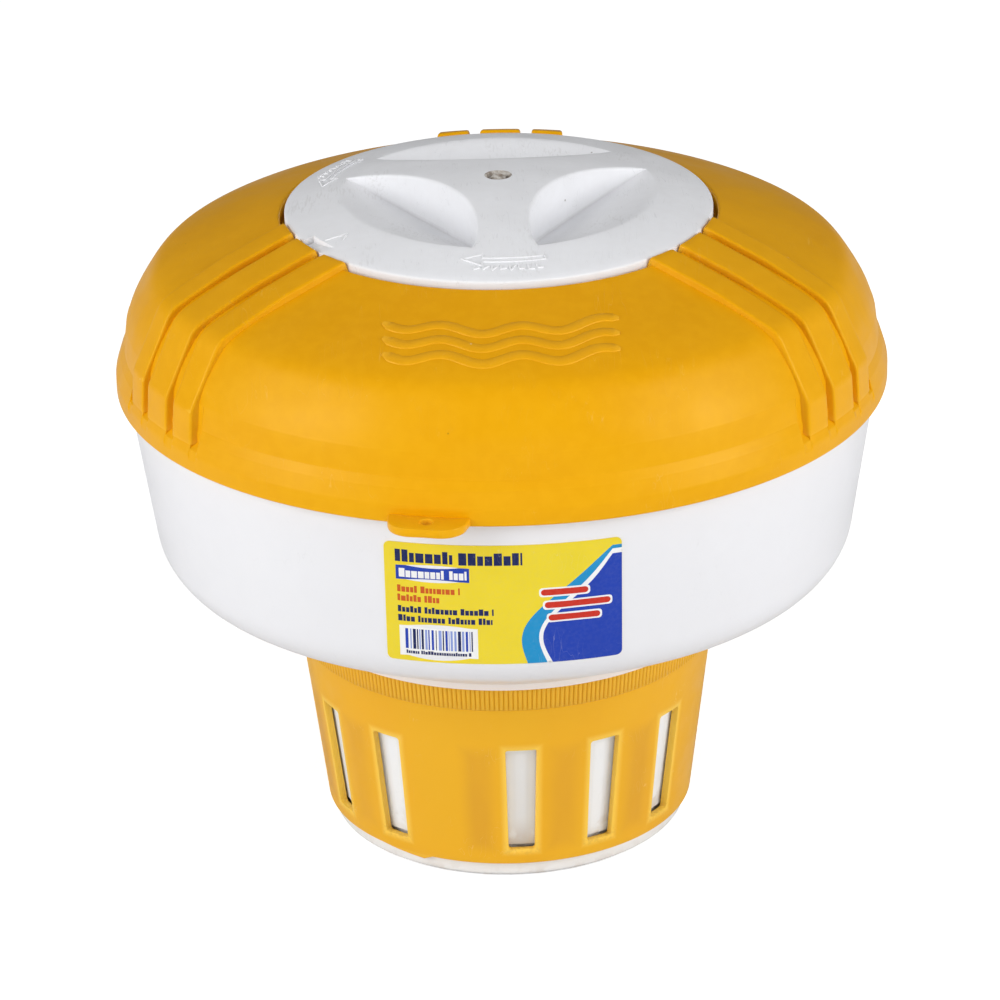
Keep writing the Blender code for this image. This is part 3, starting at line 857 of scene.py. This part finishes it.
def make_emblem():
    """Plain raised wave lines on the front of the dome."""
    shape = Shape()
    for row in (-1, 0, 1):
        line = []
        for side in range(-EMBLEM_HALF, EMBLEM_HALF + 1):
            swing = WAVE_SWING * math.sin(math.tau * (side + EMBLEM_HALF) / WAVE_LONG)
            radius = EMBLEM_R + row * EMBLEM_PITCH + swing
            line.append(Vector((side, -math.sqrt(radius ** 2 - side ** 2))))
        ridge(shape, line, lambda r: LIP_Z + dome_rise(r), width=3.4, height=0.35, sink=0.4)
    return shape.build("cover_emblem", 50.0)


# ------------------------------------------------------------ canister and sleeve
def sleeve_outer(height):
    share = (height - SLEEVE_FOOT_Z) / (SLEEVE_TOP_Z - SLEEVE_FOOT_Z)
    return SLEEVE_FOOT_R + (SLEEVE_TOP_R - SLEEVE_FOOT_R) * share


def sleeve_inner(height):
    return sleeve_outer(height) - WALL


def canister_outer(height):
    return sleeve_inner(height) - CANISTER_GAP


def canister_inner(height):
    return canister_outer(height) - CANISTER_WALL


def port_loop(shrink, corner):
    """(Sideways, height) points around a window, from its lower left corner's middle on."""
    low, high = WINDOW_Z[0] + shrink, WINDOW_Z[1] - shrink
    wide_low, wide_high = (width / 2 - shrink for width in WINDOW_WIDTH)
    loop = rounded([(-wide_low, low, corner), (wide_low, low, corner),
                    (wide_high, high, corner), (-wide_high, high, corner)], CORNER_STEPS)
    per_corner = CORNER_STEPS + 1
    half = CORNER_STEPS // 2
    points = []
    for k, count in enumerate(SIDE_STEPS * 2):
        start = loop[per_corner * k + half:per_corner * (k + 1)]
        first = per_corner * ((k + 1) % 4)
        after = loop[first:first + half + 1]
        straight = [start[-1].lerp(after[0], step / count) for step in range(1, count)]
        points += start + straight + after[:-1]
    return points


def frame_loop(left, right, low, high):
    """The same number of points around the sector that holds a window."""
    corners = [Vector(p) for p in ((left, low), (right, low), (right, high), (left, high))]
    points = []
    for k, side_steps in enumerate(SIDE_STEPS * 2):
        a, b = corners[k], corners[(k + 1) % 4]
        count = side_steps + CORNER_STEPS
        points += [a.lerp(b, step / count) for step in range(count)]
    return points


def sectors(shift):
    """Middle, left and right azimuth of the sector around each window of a turned row."""
    middles = [turn + shift for turn in WINDOW_AZIMUTHS]
    before = [middles[-1] - 360.0] + middles[:-1]
    after = middles[1:] + [middles[0] + 360.0]
    return [(middle, (left + middle) / 2, (middle + right) / 2)
            for left, middle, right in zip(before, middles, after)]


def ported_tube(shape, surfaces, span, shift, shrink, edge):
    """A tube wall with twelve windows; surfaces are its outer and inner radius functions."""
    outer, inner = surfaces
    for middle, left, right in sectors(shift):
        sector = frame_loop(left, right, *span)

        def opening(grow, radius):
            return [Vector((middle + math.degrees(p.x / radius(p.y)), p.y))
                    for p in port_loop(shrink - grow, WINDOW_CORNER + grow)]

        def wall(radius):
            rim = opening(edge, radius)
            return [[at(p.x, radius(p.y), p.y) for p in
                     (a.lerp(b, step / 6) for a, b in zip(sector, rim))] for step in range(7)]

        jamb = []
        bevel = edge * 0.3
        for surface, depth, grow in ((outer, -bevel, bevel), (outer, -edge, 0.0),
                                     (inner, edge, 0.0), (inner, bevel, bevel)):
            jamb.append([at(p.x, surface(p.y) + depth, p.y) for p in opening(grow, outer)])
        shape.grid(wall(outer) + jamb + wall(inner)[::-1], closed=True)


def close_tube(shape, outline, shift):
    """Turn an outline that joins a ported wall's outer edge to its inner edge."""
    count = SIDE_STEPS[0] + CORNER_STEPS
    turns = [left + (right - left) * step / count
             for _, left, right in sectors(shift) for step in range(count)]
    shape.grid([[at(turn, p[0], p[1]) for turn in turns] for p in outline], closed=True)


def make_sleeve():
    """Yellow sleeve: tapered wall with twelve windows and a foot around the base."""
    low, high = SLEEVE_FOOT_Z + 3.0, SLEEVE_TOP_Z - KNURL_TALL - 0.6
    outer, inner = sleeve_outer, sleeve_inner
    shape = Shape()
    ported_tube(shape, (outer, inner), (low, high), shift=0.0, shrink=0.0, edge=0.35)
    top = SLEEVE_TOP_Z - 0.3
    close_tube(shape, [(outer(high), high), (outer(top), top), (inner(top), top),
                       (inner(high), high)], 0.0)
    close_tube(shape, rounded([
        (outer(low), low), (SLEEVE_FOOT_R, SLEEVE_FOOT_Z, 0.4),
        (SLEEVE_FOOT_IN_R, SLEEVE_FOOT_Z, 0.4), (SLEEVE_FOOT_IN_R, low - 0.8),
        (inner(low), low)], 3), 0.0)
    return shape.build("sleeve_wall", 30.0)


def make_knurl():
    """Fluted grip band around the top of the sleeve."""
    low, high = SLEEVE_TOP_Z - KNURL_TALL, SLEEVE_TOP_Z
    profile = [(-0.3, low - 0.5, 0.0), (0.25, low, 0.0), (0.35, low + 0.5, 1.0),
               (0.35, high - 0.6, 1.0), (0.25, high - 0.15, 0.5), (0.0, high, 0.0),
               (-1.2, high, 0.0), (-1.2, low - 0.5, 0.0)]
    samples = 8
    count = FLUTES * samples
    swells = [KNURL_DEEP * abs(math.sin(math.pi * k / samples)) ** 0.6 for k in range(count)]
    rows = [[at(360.0 * k / count, sleeve_outer(height) + out + flute * swell, height)
             for k, swell in enumerate(swells)] for out, height, flute in profile]
    return Shape().grid(rows, closed=True, looped=True).build("sleeve_grip_band", 60.0)


def make_stop_skirt():
    """Slanted stops at the two ends of the sleeve's longer foot, which limit its turn."""
    start, end = SKIRT_STOPS
    top = SLEEVE_FOOT_Z + 0.8
    loops = []
    for step in range(round(end - start) + 1):
        turn = start + step
        inward = min(turn - start, end - turn)
        come_down = min(1.0, inward / STOP_STEP)
        run_out = max(0.0, 1.0 - max(0.0, inward - STOP_STEP) / STOP_RAMP)
        bottom = SLEEVE_FOOT_Z - STOP_DROP * come_down * run_out
        section = rounded([(SKIRT_STOP_R, bottom, 0.3), (SLEEVE_FOOT_R - 0.1, bottom, 0.3),
                           (SLEEVE_FOOT_R + 0.02, top), (SKIRT_STOP_R, top)], 3)
        loops.append([at(turn, p.x, p.y) for p in section])
    return Shape().tube(loops).build("sleeve_stop_skirt", 50.0)


def canister_top(cone_top):
    """Outline above the slotted cone: straight tube, flange and the socket for the collar."""
    bore_r = CANISTER_TUBE_R - WALL
    flange_low, flange_high = FLANGE_Z
    seat = LIP_Z + COLLAR_RISE - 3.4
    top = canister_high.z
    return [(CANISTER_TUBE_R, cone_top + 0.1), (CANISTER_TUBE_R, flange_low),
            (FLANGE_R, flange_low, 0.5), (FLANGE_R, flange_high, 0.5),
            (CANISTER_TUBE_R, flange_high), (CANISTER_TUBE_R, seat - 4.5),
            (COLLAR_R + 3.0, seat - 2.5, 0.5), (COLLAR_R + 3.0, top, 0.6),
            (COLLAR_R + 0.3, top, 0.6), (COLLAR_R + 0.3, seat, 0.5), (bore_r, seat, 0.5),
            (bore_r, SLEEVE_TOP_Z + 3.5)]


def make_canister():
    """White tube for the tablets: slotted cone, flange, straight tube and socket."""
    low, high = WINDOW_Z[0] + 0.6, SLEEVE_TOP_Z + 0.5
    outer, inner = canister_outer, canister_inner
    foot_r = BASE_R - 2.2
    foot_in_r = foot_r - CANISTER_WALL
    shape = Shape()
    ported_tube(shape, (outer, inner), (low, high), SLOT_SHIFT, SLOT_SHRINK, edge=0.3)
    upper = [(outer(high), high)] + canister_top(high) + [(inner(high), high)]
    close_tube(shape, rounded(upper, 3), SLOT_SHIFT)
    lower = [(outer(low), low), (foot_r, low - 1.0), (foot_r, canister_low.z),
             (foot_in_r, canister_low.z), (foot_in_r, low - 0.6), (inner(low), low)]
    close_tube(shape, lower, SLOT_SHIFT)
    return shape.build("tablet_tube", 30.0)


def make_base():
    """White cup under the canister, with a recessed underside."""
    inner_r = BASE_R - BASE_WALL
    outline = rounded([
        (0.0, 0.7), (9.0, 0.7), (9.3, BASE_HOLLOW), (BASE_HOLLOW_R - 0.8, BASE_HOLLOW),
        (BASE_HOLLOW_R, 0.0, 0.4), (BASE_R - 3.2, 0.0, 0.8), (BASE_R - 0.4, 1.9, 1.6),
        (BASE_R, base_high.z, 0.5), (inner_r, base_high.z, 0.5), (inner_r, BASE_FLOOR, 0.4),
        (0.0, BASE_FLOOR)], 5)
    return Shape().revolve(outline, closed=False).build("base_cup")


def make_gasket():
    """Flat silicone ring with rounded edges, under the lid."""
    outline = round_box(GASKET_IN_R, gasket_low.z, gasket_high.x, gasket_high.z, 0.8, 5)
    return Shape().revolve(outline, 240).build("lid_gasket_ring")


# -------------------------------------------------------------------------- label
INKS = {
    "yellow": (0.84, 0.66, 0.030), "navy": (0.008, 0.016, 0.10), "white": (0.88, 0.88, 0.88),
    "orange": (0.60, 0.10, 0.012), "teal": (0.012, 0.28, 0.58), "blue": (0.014, 0.052, 0.42),
    "red": (0.60, 0.030, 0.014), "pale_blue": (0.26, 0.34, 0.68)}
LABEL_SIZE = (73.4, 42.8)
LABEL_TURN = -0.45           # azimuth of the label's middle
LABEL_TOP = -8.2             # rise of its upper edge
LABEL_LIFT = 0.25
# Print is placed in mm across and down from the label's upper left corner.
# Rows of words have a span across, a span down and an ink.
TITLE_ROWS = (((3.5, 21.4), (3.5, 6.9), "navy"), ((23.2, 42.6), (3.7, 7.1), "navy"))
BANNER = (3.6, 8.2, 26.4, 13.3)
TEXT_ROWS = (((4.6, 18.6), (10.0, 12.4), "white"), ((20.3, 25.6), (10.0, 12.4), "white"),
             ((3.9, 23.4), (15.9, 17.8), "orange"), ((3.9, 18.6), (19.2, 21.1), "orange"),
             ((3.9, 33.6), (23.3, 25.1), "navy"), ((3.9, 33.2), (26.6, 28.4), "navy"))
CODE_BOX = (4.2, 30.0, 28.6, 40.9)
CODE_SPAN = (6.0, 27.3)
CODE_BARS = (31.0, 38.3)
CODE_ROW = ((6.2, 27.0), (39.1, 40.1), "navy")
RED_BARS = (0.20, 0.28, 0.22)           # their lengths, as shares of the label's width
RED_BAR_TALL = 2.2
RED_BAR_PITCH = 4.6


def box_outline(left, top, right, bottom):
    return [Vector(p) for p in ((left, top), (right, top), (right, bottom), (left, bottom))]


def word_row(shapes, draw, span, rows, name):
    """A row of plain upright blocks that stands for a printed line."""
    spot, end = span
    top, bottom = rows
    tall = bottom - top
    letters = 0
    while spot < end - 0.5:
        wide = tall * draw.uniform(0.42, 0.78)
        high = top - (tall * 0.3 if draw.random() < 0.2 or letters == 0 else 0.0)
        shapes.append((box_outline(spot, high, min(spot + wide, end), bottom), name))
        letters += 1
        spot += wide + tall * 0.13
        if name != "white" and tall < 3.0 and letters > 3 and draw.random() < 0.35:
            spot += tall * 0.45
            letters = 0


def code_bars(shapes, draw):
    """Upright bars of random widths and inks in the code's white box."""
    spot, end = CODE_SPAN
    while spot < end:
        wide = draw.choice((0.28, 0.42, 0.7, 0.95))
        bar = box_outline(spot, CODE_BARS[0], spot + wide, CODE_BARS[1])
        shapes.append((bar, draw.choice(("blue", "navy", "pale_blue"))))
        spot += wide + draw.choice((0.3, 0.45, 0.6))


def wave_panel(left, top, swing):
    """Area at the right of the label whose edge flows down in a long wave."""
    wide, tall = LABEL_SIZE
    line = []
    for step in range(49):
        share = step / 48
        across = wide * (left + (0.96 - left) * (1.0 - share) ** 2.2)
        across += swing * math.sin(math.tau * share * 1.1)
        down = tall * (top + (1.0 - top) * share)
        line.append(Vector((min(across, wide), down)))
    return [Vector((wide, line[0].y))] + line + [Vector((wide, tall))]


def label_shapes():
    """Printed areas as (outline, ink), later ones on top."""
    draw = random.Random(4)
    shapes = [(wave_panel(0.58, 0.06, 2.0), "teal"), (wave_panel(0.66, 0.09, 2.4), "white"),
              (wave_panel(0.68, 0.13, 2.6), "blue")]
    for row in TITLE_ROWS:
        word_row(shapes, draw, *row)
    shapes.append((box_outline(*BANNER), "blue"))
    for row in TEXT_ROWS:
        word_row(shapes, draw, *row)
    shapes.append((box_outline(*CODE_BOX), "white"))
    code_bars(shapes, draw)
    word_row(shapes, draw, *CODE_ROW)
    for row, length in enumerate(RED_BARS):
        left = LABEL_SIZE[0] * (0.655 + 0.015 * row)
        right = left + LABEL_SIZE[0] * length
        top = 16.2 + RED_BAR_PITCH * row
        for grow, name in ((0.55, "white"), (0.0, "red")):
            bar = round_box(left - grow, top - grow, right + grow, top + RED_BAR_TALL + grow, 1.1, 4)
            shapes.append((bar, name))
    return shapes


def on_bowl(p, lift):
    """Where a point of the label lies on the bowl's wall."""
    height = LIP_Z + LABEL_TOP - p.y
    radius = next(a.x + (b.x - a.x) * (height - a.y) / (b.y - a.y)
                  for a, b in zip(BOWL_LINE, BOWL_LINE[1:]) if b.y <= height)
    turn = LABEL_TURN + math.degrees((p.x - LABEL_SIZE[0] / 2) / radius)
    return at(turn, radius + lift, height)


def make_label():
    """Printed film on the front of the bowl, its print laid out as areas of its mesh."""
    wide, tall = LABEL_SIZE
    border = round_box(0.0, 0.0, wide, tall, 2.0, 6)
    dense = evenly(border + border[:1], 1.5)[:-1]
    shapes = label_shapes()
    points, edges = joined_loops([dense] + [outline for outline, _ in shapes])
    for column in range(1, 48):
        for row in range(1, 12):
            points.append(Vector((wide * column / 48 + 0.013 * row, tall * row / 12 + 0.011 * column)))
    made, _, faces, _, _, _ = delaunay_2d_cdt(points, edges, [], 0, 0.0005)
    shape = Shape()
    shape.verts = [on_bowl(p, LABEL_LIFT) for p in made]
    inks = []
    for face in faces:
        middle = middle_of([made[k] for k in face])
        if inside_loop(middle, border):
            over = [name for outline, name in shapes if inside_loop(middle, outline)]
            inks.append((["yellow"] + over)[-1])
            shape.faces.append(tuple(face))
    printed = list(zip(shape.faces, inks))
    shape.grid([[on_bowl(p, lift) for p in dense] for lift in (LABEL_LIFT, 0.02)], closed=True)
    label = shape.build("front_label_film")
    fill_inks(label, shape.verts, printed)
    return label


def rounded_middle(points):
    return tuple(round(c, 2) for c in middle_of(points))


def fill_inks(label, verts, printed):
    """Give each printed face its ink, found again by its middle."""
    names = list(INKS)
    wanted = {rounded_middle([verts[k] for k in face]): names.index(name) for face, name in printed}
    for polygon in label.data.polygons:
        corners = [label.data.vertices[k].co / MM for k in polygon.vertices]
        polygon.material_index = wanted.get(rounded_middle(corners), 0)


# ---------------------------------------------------------------------------- lid
SCOOP_DEEP = 15.5
SCOOP_WALL_AT = 71.7
SCOOP_WALL_R = 53.8
SCOOP_OUTER_R = 51.2
SCOOP_STEPS = 56
SKIRT_R = 60.5
SKIRT_IN_R = 57.9
LUG_R = 63.7
LUG_HALF_TURN = 14.0
LID_RIM_Z = LIP_Z + 52.6
NOTCH = (-64.0, -52.0)       # azimuths of a step in the rim that runs out along the edge
NOTCH_DEEP = 2.3
NOTCH_IN_R = 65.0
RIM_NOTCH_END = 12           # points of the rim's outline that the notch lowers
RIM_TOP_END = 14             # and those that stay above its lower edge
RIM_TURNS = sorted([float(k) for k in range(-180, 180)] + [NOTCH[0] - 0.12])
SKIN_PITCH = 2.6             # spacing of the mesh's points on the lid's top
GATE_R = 4.4
GATE_TURNS = [7.5 * k for k in range(48)]
# radius and depth of the gate's dimple, its torn ring and its middle
GATE_PROFILE = ((GATE_R, 0.0), (4.0, 0.15), (3.7, 0.7), (3.3, 1.2), (2.6, 1.35), (2.2, 1.0),
                (1.7, 0.35), (1.1, 0.25), (0.5, 0.45))
ARROW_R = 57.8
ARROWS = ((14.1, -11.8), (-128.8, -101.6))                 # azimuths of tail and tip
SMALL_MARK = ((-54.6, -33.6), (-47.6, -32.2), (-48.9, -36.2))
STROKE_ROWS = ((-7.4, 8), (-128.0, 7))                     # first azimuth and count
STROKE_PITCH = 2.6
STROKE_R = 61.0


def lid_top(radius):
    return LIP_Z + LID_CROWN - LID_SINK * (radius / LID_R) ** 2


def scoop_columns(margin):
    """Matching points of a scoop's wall arc and outer arc, in the scoop's own plan axes."""
    wall_r = SCOOP_WALL_R + margin
    outer_r = SCOOP_OUTER_R + margin * 0.6
    reach = (SCOOP_WALL_AT ** 2 + outer_r ** 2 - wall_r ** 2) / (2 * SCOOP_WALL_AT)
    side = math.sqrt(outer_r ** 2 - reach ** 2)
    wall_turn = math.asin(side / wall_r)
    outer_turn = math.atan2(side, reach)
    columns = []
    for k in range(SCOOP_STEPS + 1):
        share = math.sin(math.pi * (k / SCOOP_STEPS - 0.5))
        a, b = wall_turn * share, outer_turn * share
        normal = Vector((math.sin(a), -math.cos(a)))
        wall = Vector((0.0, SCOOP_WALL_AT)) + normal * wall_r
        outer = Vector((math.sin(b), math.cos(b))) * outer_r
        deep = SCOOP_DEEP * max(0.0, (reach - wall.y) / (reach - SCOOP_WALL_AT + wall_r))
        columns.append((wall, normal, outer, deep))
    return columns


def scoop_section(wall, normal, outer, deep):
    """(Plan point, drop) from the land over the wall, down it and up the floor's slope."""
    ease = min(1.0, deep * 0.3)
    hollow = min(0.7, deep * 0.2)
    draft = deep * 0.03
    section = []
    for step in range(6):
        turn = math.pi / 2 * step / 5
        section.append((wall + normal * (ease * (1.0 - math.sin(turn))), ease * (1.0 - math.cos(turn))))
    for step in range(1, 5):
        share = step / 4
        section.append((wall - normal * (draft * share), ease + (deep - ease - hollow) * share))
    for step in range(1, 6):
        turn = math.pi / 2 * step / 5
        section.append((wall - normal * (draft + hollow * (1.0 - math.cos(turn))),
                        deep - hollow * (1.0 - math.sin(turn))))
    foot = section[-1][0]
    soft = 0.06
    for step in range(1, 17):
        share = 1.0 - (1.0 - step / 16) ** 1.3
        left = math.sqrt((1.0 - share) ** 2 + soft ** 2) - soft
        left /= math.sqrt(1.0 + soft ** 2) - soft
        section.append((foot.lerp(outer, share), deep * left))
    return section


def scoop_rows(margin):
    """Rows of points of one scoop, from the land above the wall to the floor's outer edge."""
    sections = [scoop_section(*column) for column in scoop_columns(margin)]
    return [[Vector((spot.x, spot.y, lid_top(spot.length) - drop)) for spot, drop in row]
            for row in zip(*sections)]


def lid_skin(shape, margin, drop, gate):
    """The lid's domed skin with its three scoops; margin and drop move it for the underside."""
    scoops = []
    for third in THIRDS:
        turn = Matrix.Rotation(math.radians(LID_AZIMUTH + third + 180.0), 3, "Z")
        scoops.append([[turn @ Vector((p.x, -p.y, p.z - drop)) for p in row]
                       for row in scoop_rows(margin)])
    rim = [at(turn, SKIRT_IN_R, lid_top(SKIRT_IN_R) - drop) for turn in RIM_TURNS]
    loops = [rim] + [scoop[0] + scoop[-1][-2:0:-1] for scoop in scoops]
    if gate:
        loops.append([at(turn, GATE_R, lid_top(GATE_R) - drop) for turn in GATE_TURNS])
    points, edges = joined_loops(loops)
    holes = [[p.to_2d() for p in loop] for loop in loops[1:]]
    for i in range(-24, 25):
        for j in range(-27, 28):
            spot = Vector(((i + (j % 2) / 2) * SKIN_PITCH, j * SKIN_PITCH * 0.866))
            inside = spot.length < SKIRT_IN_R - 1.5
            if inside and not any(near_loop(spot, hole, 1.2) for hole in holes):
                points.append(Vector((spot.x, spot.y, lid_top(spot.length) - drop)))
    flat = [p.to_2d() for p in points]
    made, _, faces, origin, _, _ = delaunay_2d_cdt(flat, edges, [], 0, 0.001)
    first = len(shape.verts)
    shape.verts += [points[o[0]] for o in origin]
    for face in faces:
        middle = middle_of([made[k] for k in face])
        if not any(inside_loop(middle, hole) for hole in holes):
            shape.faces.append(tuple(first + k for k in face))
    for scoop in scoops:
        shape.grid(scoop)


def near_loop(spot, loop, gap):
    return inside_loop(spot, loop) or min((p - spot).length for p in loop) < gap


def rim_line():
    """Outline from the top's edge over the rim and around the skirt, back to the underside."""
    line = [Vector((r, lid_top(r))) for r in (SKIRT_IN_R, 60.0, 62.0, 64.0, 64.8, NOTCH_IN_R, 66.0)]
    return line + rounded([
        (66.6, lid_top(66.6)), (LID_R, lid_top(LID_R) - 0.2, 0.9), (LID_R, LID_RIM_Z, 0.4),
        (SKIRT_R, LID_RIM_Z, 0.3), (SKIRT_R, lid_low.z, 0.5), (SKIRT_IN_R, lid_low.z, 0.5),
        (SKIRT_IN_R, lid_top(SKIRT_IN_R) - WALL)], 6)


def rim_height(k, p, turn):
    """Height of the rim outline's point k at an azimuth, lowered where the notch is."""
    if k >= RIM_TOP_END:
        return p.y
    drop = 0.0
    if k < RIM_NOTCH_END and p.x >= NOTCH_IN_R and NOTCH[0] - 0.01 <= turn <= NOTCH[1]:
        drop = NOTCH_DEEP * (NOTCH[1] - turn) / (NOTCH[1] - NOTCH[0])
    return max(p.y - drop, LID_RIM_Z + 0.4)


def make_lid():
    """White lid: domed top with three finger scoops, a rounded rim and a skirt."""
    shape = Shape()
    lid_skin(shape, 0.0, 0.0, True)
    lid_skin(shape, WALL, WALL, False)
    rows = [[at(turn, p.x, rim_height(k, p, turn)) for turn in RIM_TURNS]
            for k, p in enumerate(rim_line())]
    return shape.grid(rows, closed=True).build("twist_lid_shell", 32.0)


def make_lid_lugs():
    """Three lugs on the skirt that lock under the float's ledge."""
    shape = Shape()
    for third in THIRDS:
        middle = LID_AZIMUTH + third
        arc_body(shape, (middle - LUG_HALF_TURN, middle + LUG_HALF_TURN), (SKIRT_R - 0.8, LUG_R),
                 (lid_low.z + 0.6, lid_low.z + 4.4), 0.6)
    return shape.build("lid_lugs")


def make_gate():
    """Rough moulding gate in a shallow dimple at the lid's centre."""
    rows = []
    for radius, drop in GATE_PROFILE:
        row = []
        for turn in GATE_TURNS:
            rough = radius < GATE_R
            wobble = noise.noise(at(turn, radius, drop * 3.0) * 0.9) if rough else 0.0
            height = min(lid_top(radius) - drop + 0.7 * wobble, lid_high.z - 0.05)
            row.append(at(turn, radius * (1.0 + 0.2 * wobble), height))
        rows.append(row)
    return Shape().grid(rows, closed=True).cap(rows[-1]).build("lid_gate_mark", 25.0)


def flat_line(corners):
    """Plan-view points of (radius, azimuth) corners."""
    return [at(azimuth, radius, 0.0).to_2d() for radius, azimuth in corners]


def lid_arrow(tail, tip):
    """Outline of an arrow that follows an arc of the lid, between two azimuths."""
    neck = tip + math.copysign(6.5, tail - tip)
    corners = [(ARROW_R + 1.0, tail + (neck - tail) * step / 10) for step in range(11)]
    corners += [(ARROW_R + 3.0, neck), (ARROW_R, tip), (ARROW_R - 3.0, neck)]
    corners += [(ARROW_R - 1.0, neck + (tail - neck) * step / 10) for step in range(11)]
    return flat_line(corners + corners[:1])


def stroke_rows():
    """Rows of plain bent strokes beside the arrows."""
    draw = random.Random(9)
    lines = []
    for start, count in STROKE_ROWS:
        for stroke in range(count):
            azimuth = start + STROKE_PITCH * stroke
            top = draw.uniform(STROKE_R + 1.4, STROKE_R + 2.4)
            side = draw.choice((STROKE_R, STROKE_R + 1.0, top))
            lines.append(flat_line(((STROKE_R, azimuth), (top, azimuth), (side, azimuth + 1.5))))
    return lines


def make_lid_marks():
    """Thin raised arrows that show which way the lid turns, and the strokes beside them."""
    shape = Shape()
    lines = [lid_arrow(*arrow) for arrow in ARROWS]
    lines.append([Vector(p) for p in SMALL_MARK])
    for line in lines + stroke_rows():
        ridge(shape, evenly(line, 1.5, 2, round), lid_top, width=0.6, height=0.32, sink=0.15)
    return shape.build("lid_arrows", 40.0)


# --------------------------------------------------------------------- camera, light
def make_camera():
    """Eye 1.5 m from the float's waist, looking 24 degrees down, with a slight roll."""
    distance = 1.5
    elevation = math.radians(23.92)
    roll = math.radians(-1.13)
    aim = Vector((-0.59, -42.5))       # right and up from the lip plane's centre, mm
    ahead = Vector((0.0, math.cos(elevation), -math.sin(elevation)))
    up = Vector((0.0, math.sin(elevation), math.cos(elevation)))
    right = Vector((1.0, 0.0, 0.0))
    right, up = (right * math.cos(roll) + up * math.sin(roll),
                 up * math.cos(roll) - right * math.sin(roll))
    eye = Vector((0.0, 0.0, LIP_Z)) * MM - ahead * distance + (right * aim.x + up * aim.y) * MM
    turn = Matrix((right, up, -ahead)).transposed().to_4x4()
    camera = bpy.data.objects.new("camera", bpy.data.cameras.new("camera"))
    camera.matrix_world = Matrix.Translation(eye) @ turn
    camera.data.lens = 165.96
    camera.data.sensor_width = 36.0
    camera.data.clip_end = 20.0
    bpy.context.scene.collection.objects.link(camera)
    bpy.context.scene.camera = camera


def make_floor():
    corners = ((-3000, -2000), (3000, -2000), (3000, 4000), (-3000, 4000))
    floor = Shape().cap([Vector((x, y, 0.0)) for x, y in corners]).build("floor")
    floor.data.materials.append(paper_finish())


def make_world():
    """Even room light, brighter at the sides than above and dimmer where it is mirrored."""
    world = bpy.data.worlds.new("studio")
    world.use_nodes = True
    nodes, links = world.node_tree.nodes, world.node_tree.links

    def ramp(source, low, high):
        made = nodes.new("ShaderNodeMapRange")
        links.new(source, made.inputs["Value"])
        made.inputs["To Min"].default_value = low
        made.inputs["To Max"].default_value = high
        return made.outputs[0]

    up = nodes.new("ShaderNodeSeparateXYZ")
    links.new(nodes.new("ShaderNodeTexCoord").outputs["Generated"], up.inputs[0])
    mirrored = nodes.new("ShaderNodeLightPath").outputs["Is Glossy Ray"]
    both = nodes.new("ShaderNodeMath")
    both.operation = "MULTIPLY"
    links.new(ramp(up.outputs["Z"], WORLD_SIDE, WORLD_TOP), both.inputs[0])
    links.new(ramp(mirrored, 1.0, WORLD_MIRRORED), both.inputs[1])
    links.new(both.outputs[0], nodes["Background"].inputs["Strength"])
    nodes["Background"].inputs["Color"].default_value = (0.99, 0.995, 1.0, 1.0)
    bpy.context.scene.world = world


def add_light(name, place_at, size, power, mirrored=True):
    """A soft rectangular lamp aimed at the dispenser; places and sizes are in metres."""
    light = bpy.data.lights.new(name, "AREA")
    light.shape = "RECTANGLE"
    light.size, light.size_y = size
    light.energy = power
    lamp = bpy.data.objects.new(name, light)
    lamp.location = place_at
    lamp.visible_glossy = mirrored
    aim = Vector((0.0, 0.0, 0.12)) - Vector(place_at)
    lamp.rotation_euler = aim.to_track_quat("-Z", "Y").to_euler()
    bpy.context.scene.collection.objects.link(lamp)


def make_stage():
    """Floor, room light and the four lamps."""
    make_floor()
    make_world()
    bpy.context.scene.view_settings.view_transform = "Standard"
    add_light("softbox_left", (-1.5, -0.85, 0.85), (1.0, 1.1), LEFT_POWER)
    add_light("softbox_right", (1.5, -0.8, 0.80), (0.9, 1.0), RIGHT_POWER)
    add_light("ceiling", (0.0, 0.2, 2.0), (1.6, 1.6), TOP_POWER, mirrored=False)
    add_light("front", (0.0, -2.0, 0.55), (1.2, 0.7), FRONT_POWER, mirrored=False)


make_camera()
make_stage()
yellow = cover_plastic()
sleeve_yellow = sleeve_plastic()
bowl_white = white_plastic("bowl_plastic", (0.825, 0.825, 0.85))
tube_white = white_plastic("canister_plastic", (0.85, 0.885, 0.93), (10.0, 24.0))
cup_white = white_plastic("base_plastic", (0.87, 0.865, 0.855), (-1.0, 6.0), 0.3)
lid_white = lid_plastic()
rubber = rubber_finish()

place(make_bowl(), [bowl_white], "float", "lower_shell")
for make in (make_cover, make_ribs, make_bayonet, make_tab, make_emblem):
    place(make(), [yellow], "float", "top_cover")
for make in (make_sleeve, make_knurl, make_stop_skirt):
    place(make(), [sleeve_yellow], "sleeve", "regulator_sleeve")
place(make_canister(), [tube_white], "float", "tablet_canister")
place(make_base(), [cup_white], "float", "base_cap")
place(make_gasket(), [silicone_finish()], "lid_seal", "lid_gasket")
for make in (make_lid, make_lid_lugs, make_lid_marks):
    place(make(), [lid_white], "lid", "twist_lid")
place(make_gate(), [gate_plastic()], "lid", "twist_lid")
place(make_label(), [ink("ink_" + name, colour) for name, colour in INKS.items()],
      "float", "front_label")
for name in ("rim_seal", "throat_seal", "neck_seal"):
    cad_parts[name].data.materials.clear()
    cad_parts[name].data.materials.append(rubber)

bpy.context.view_layer.update()
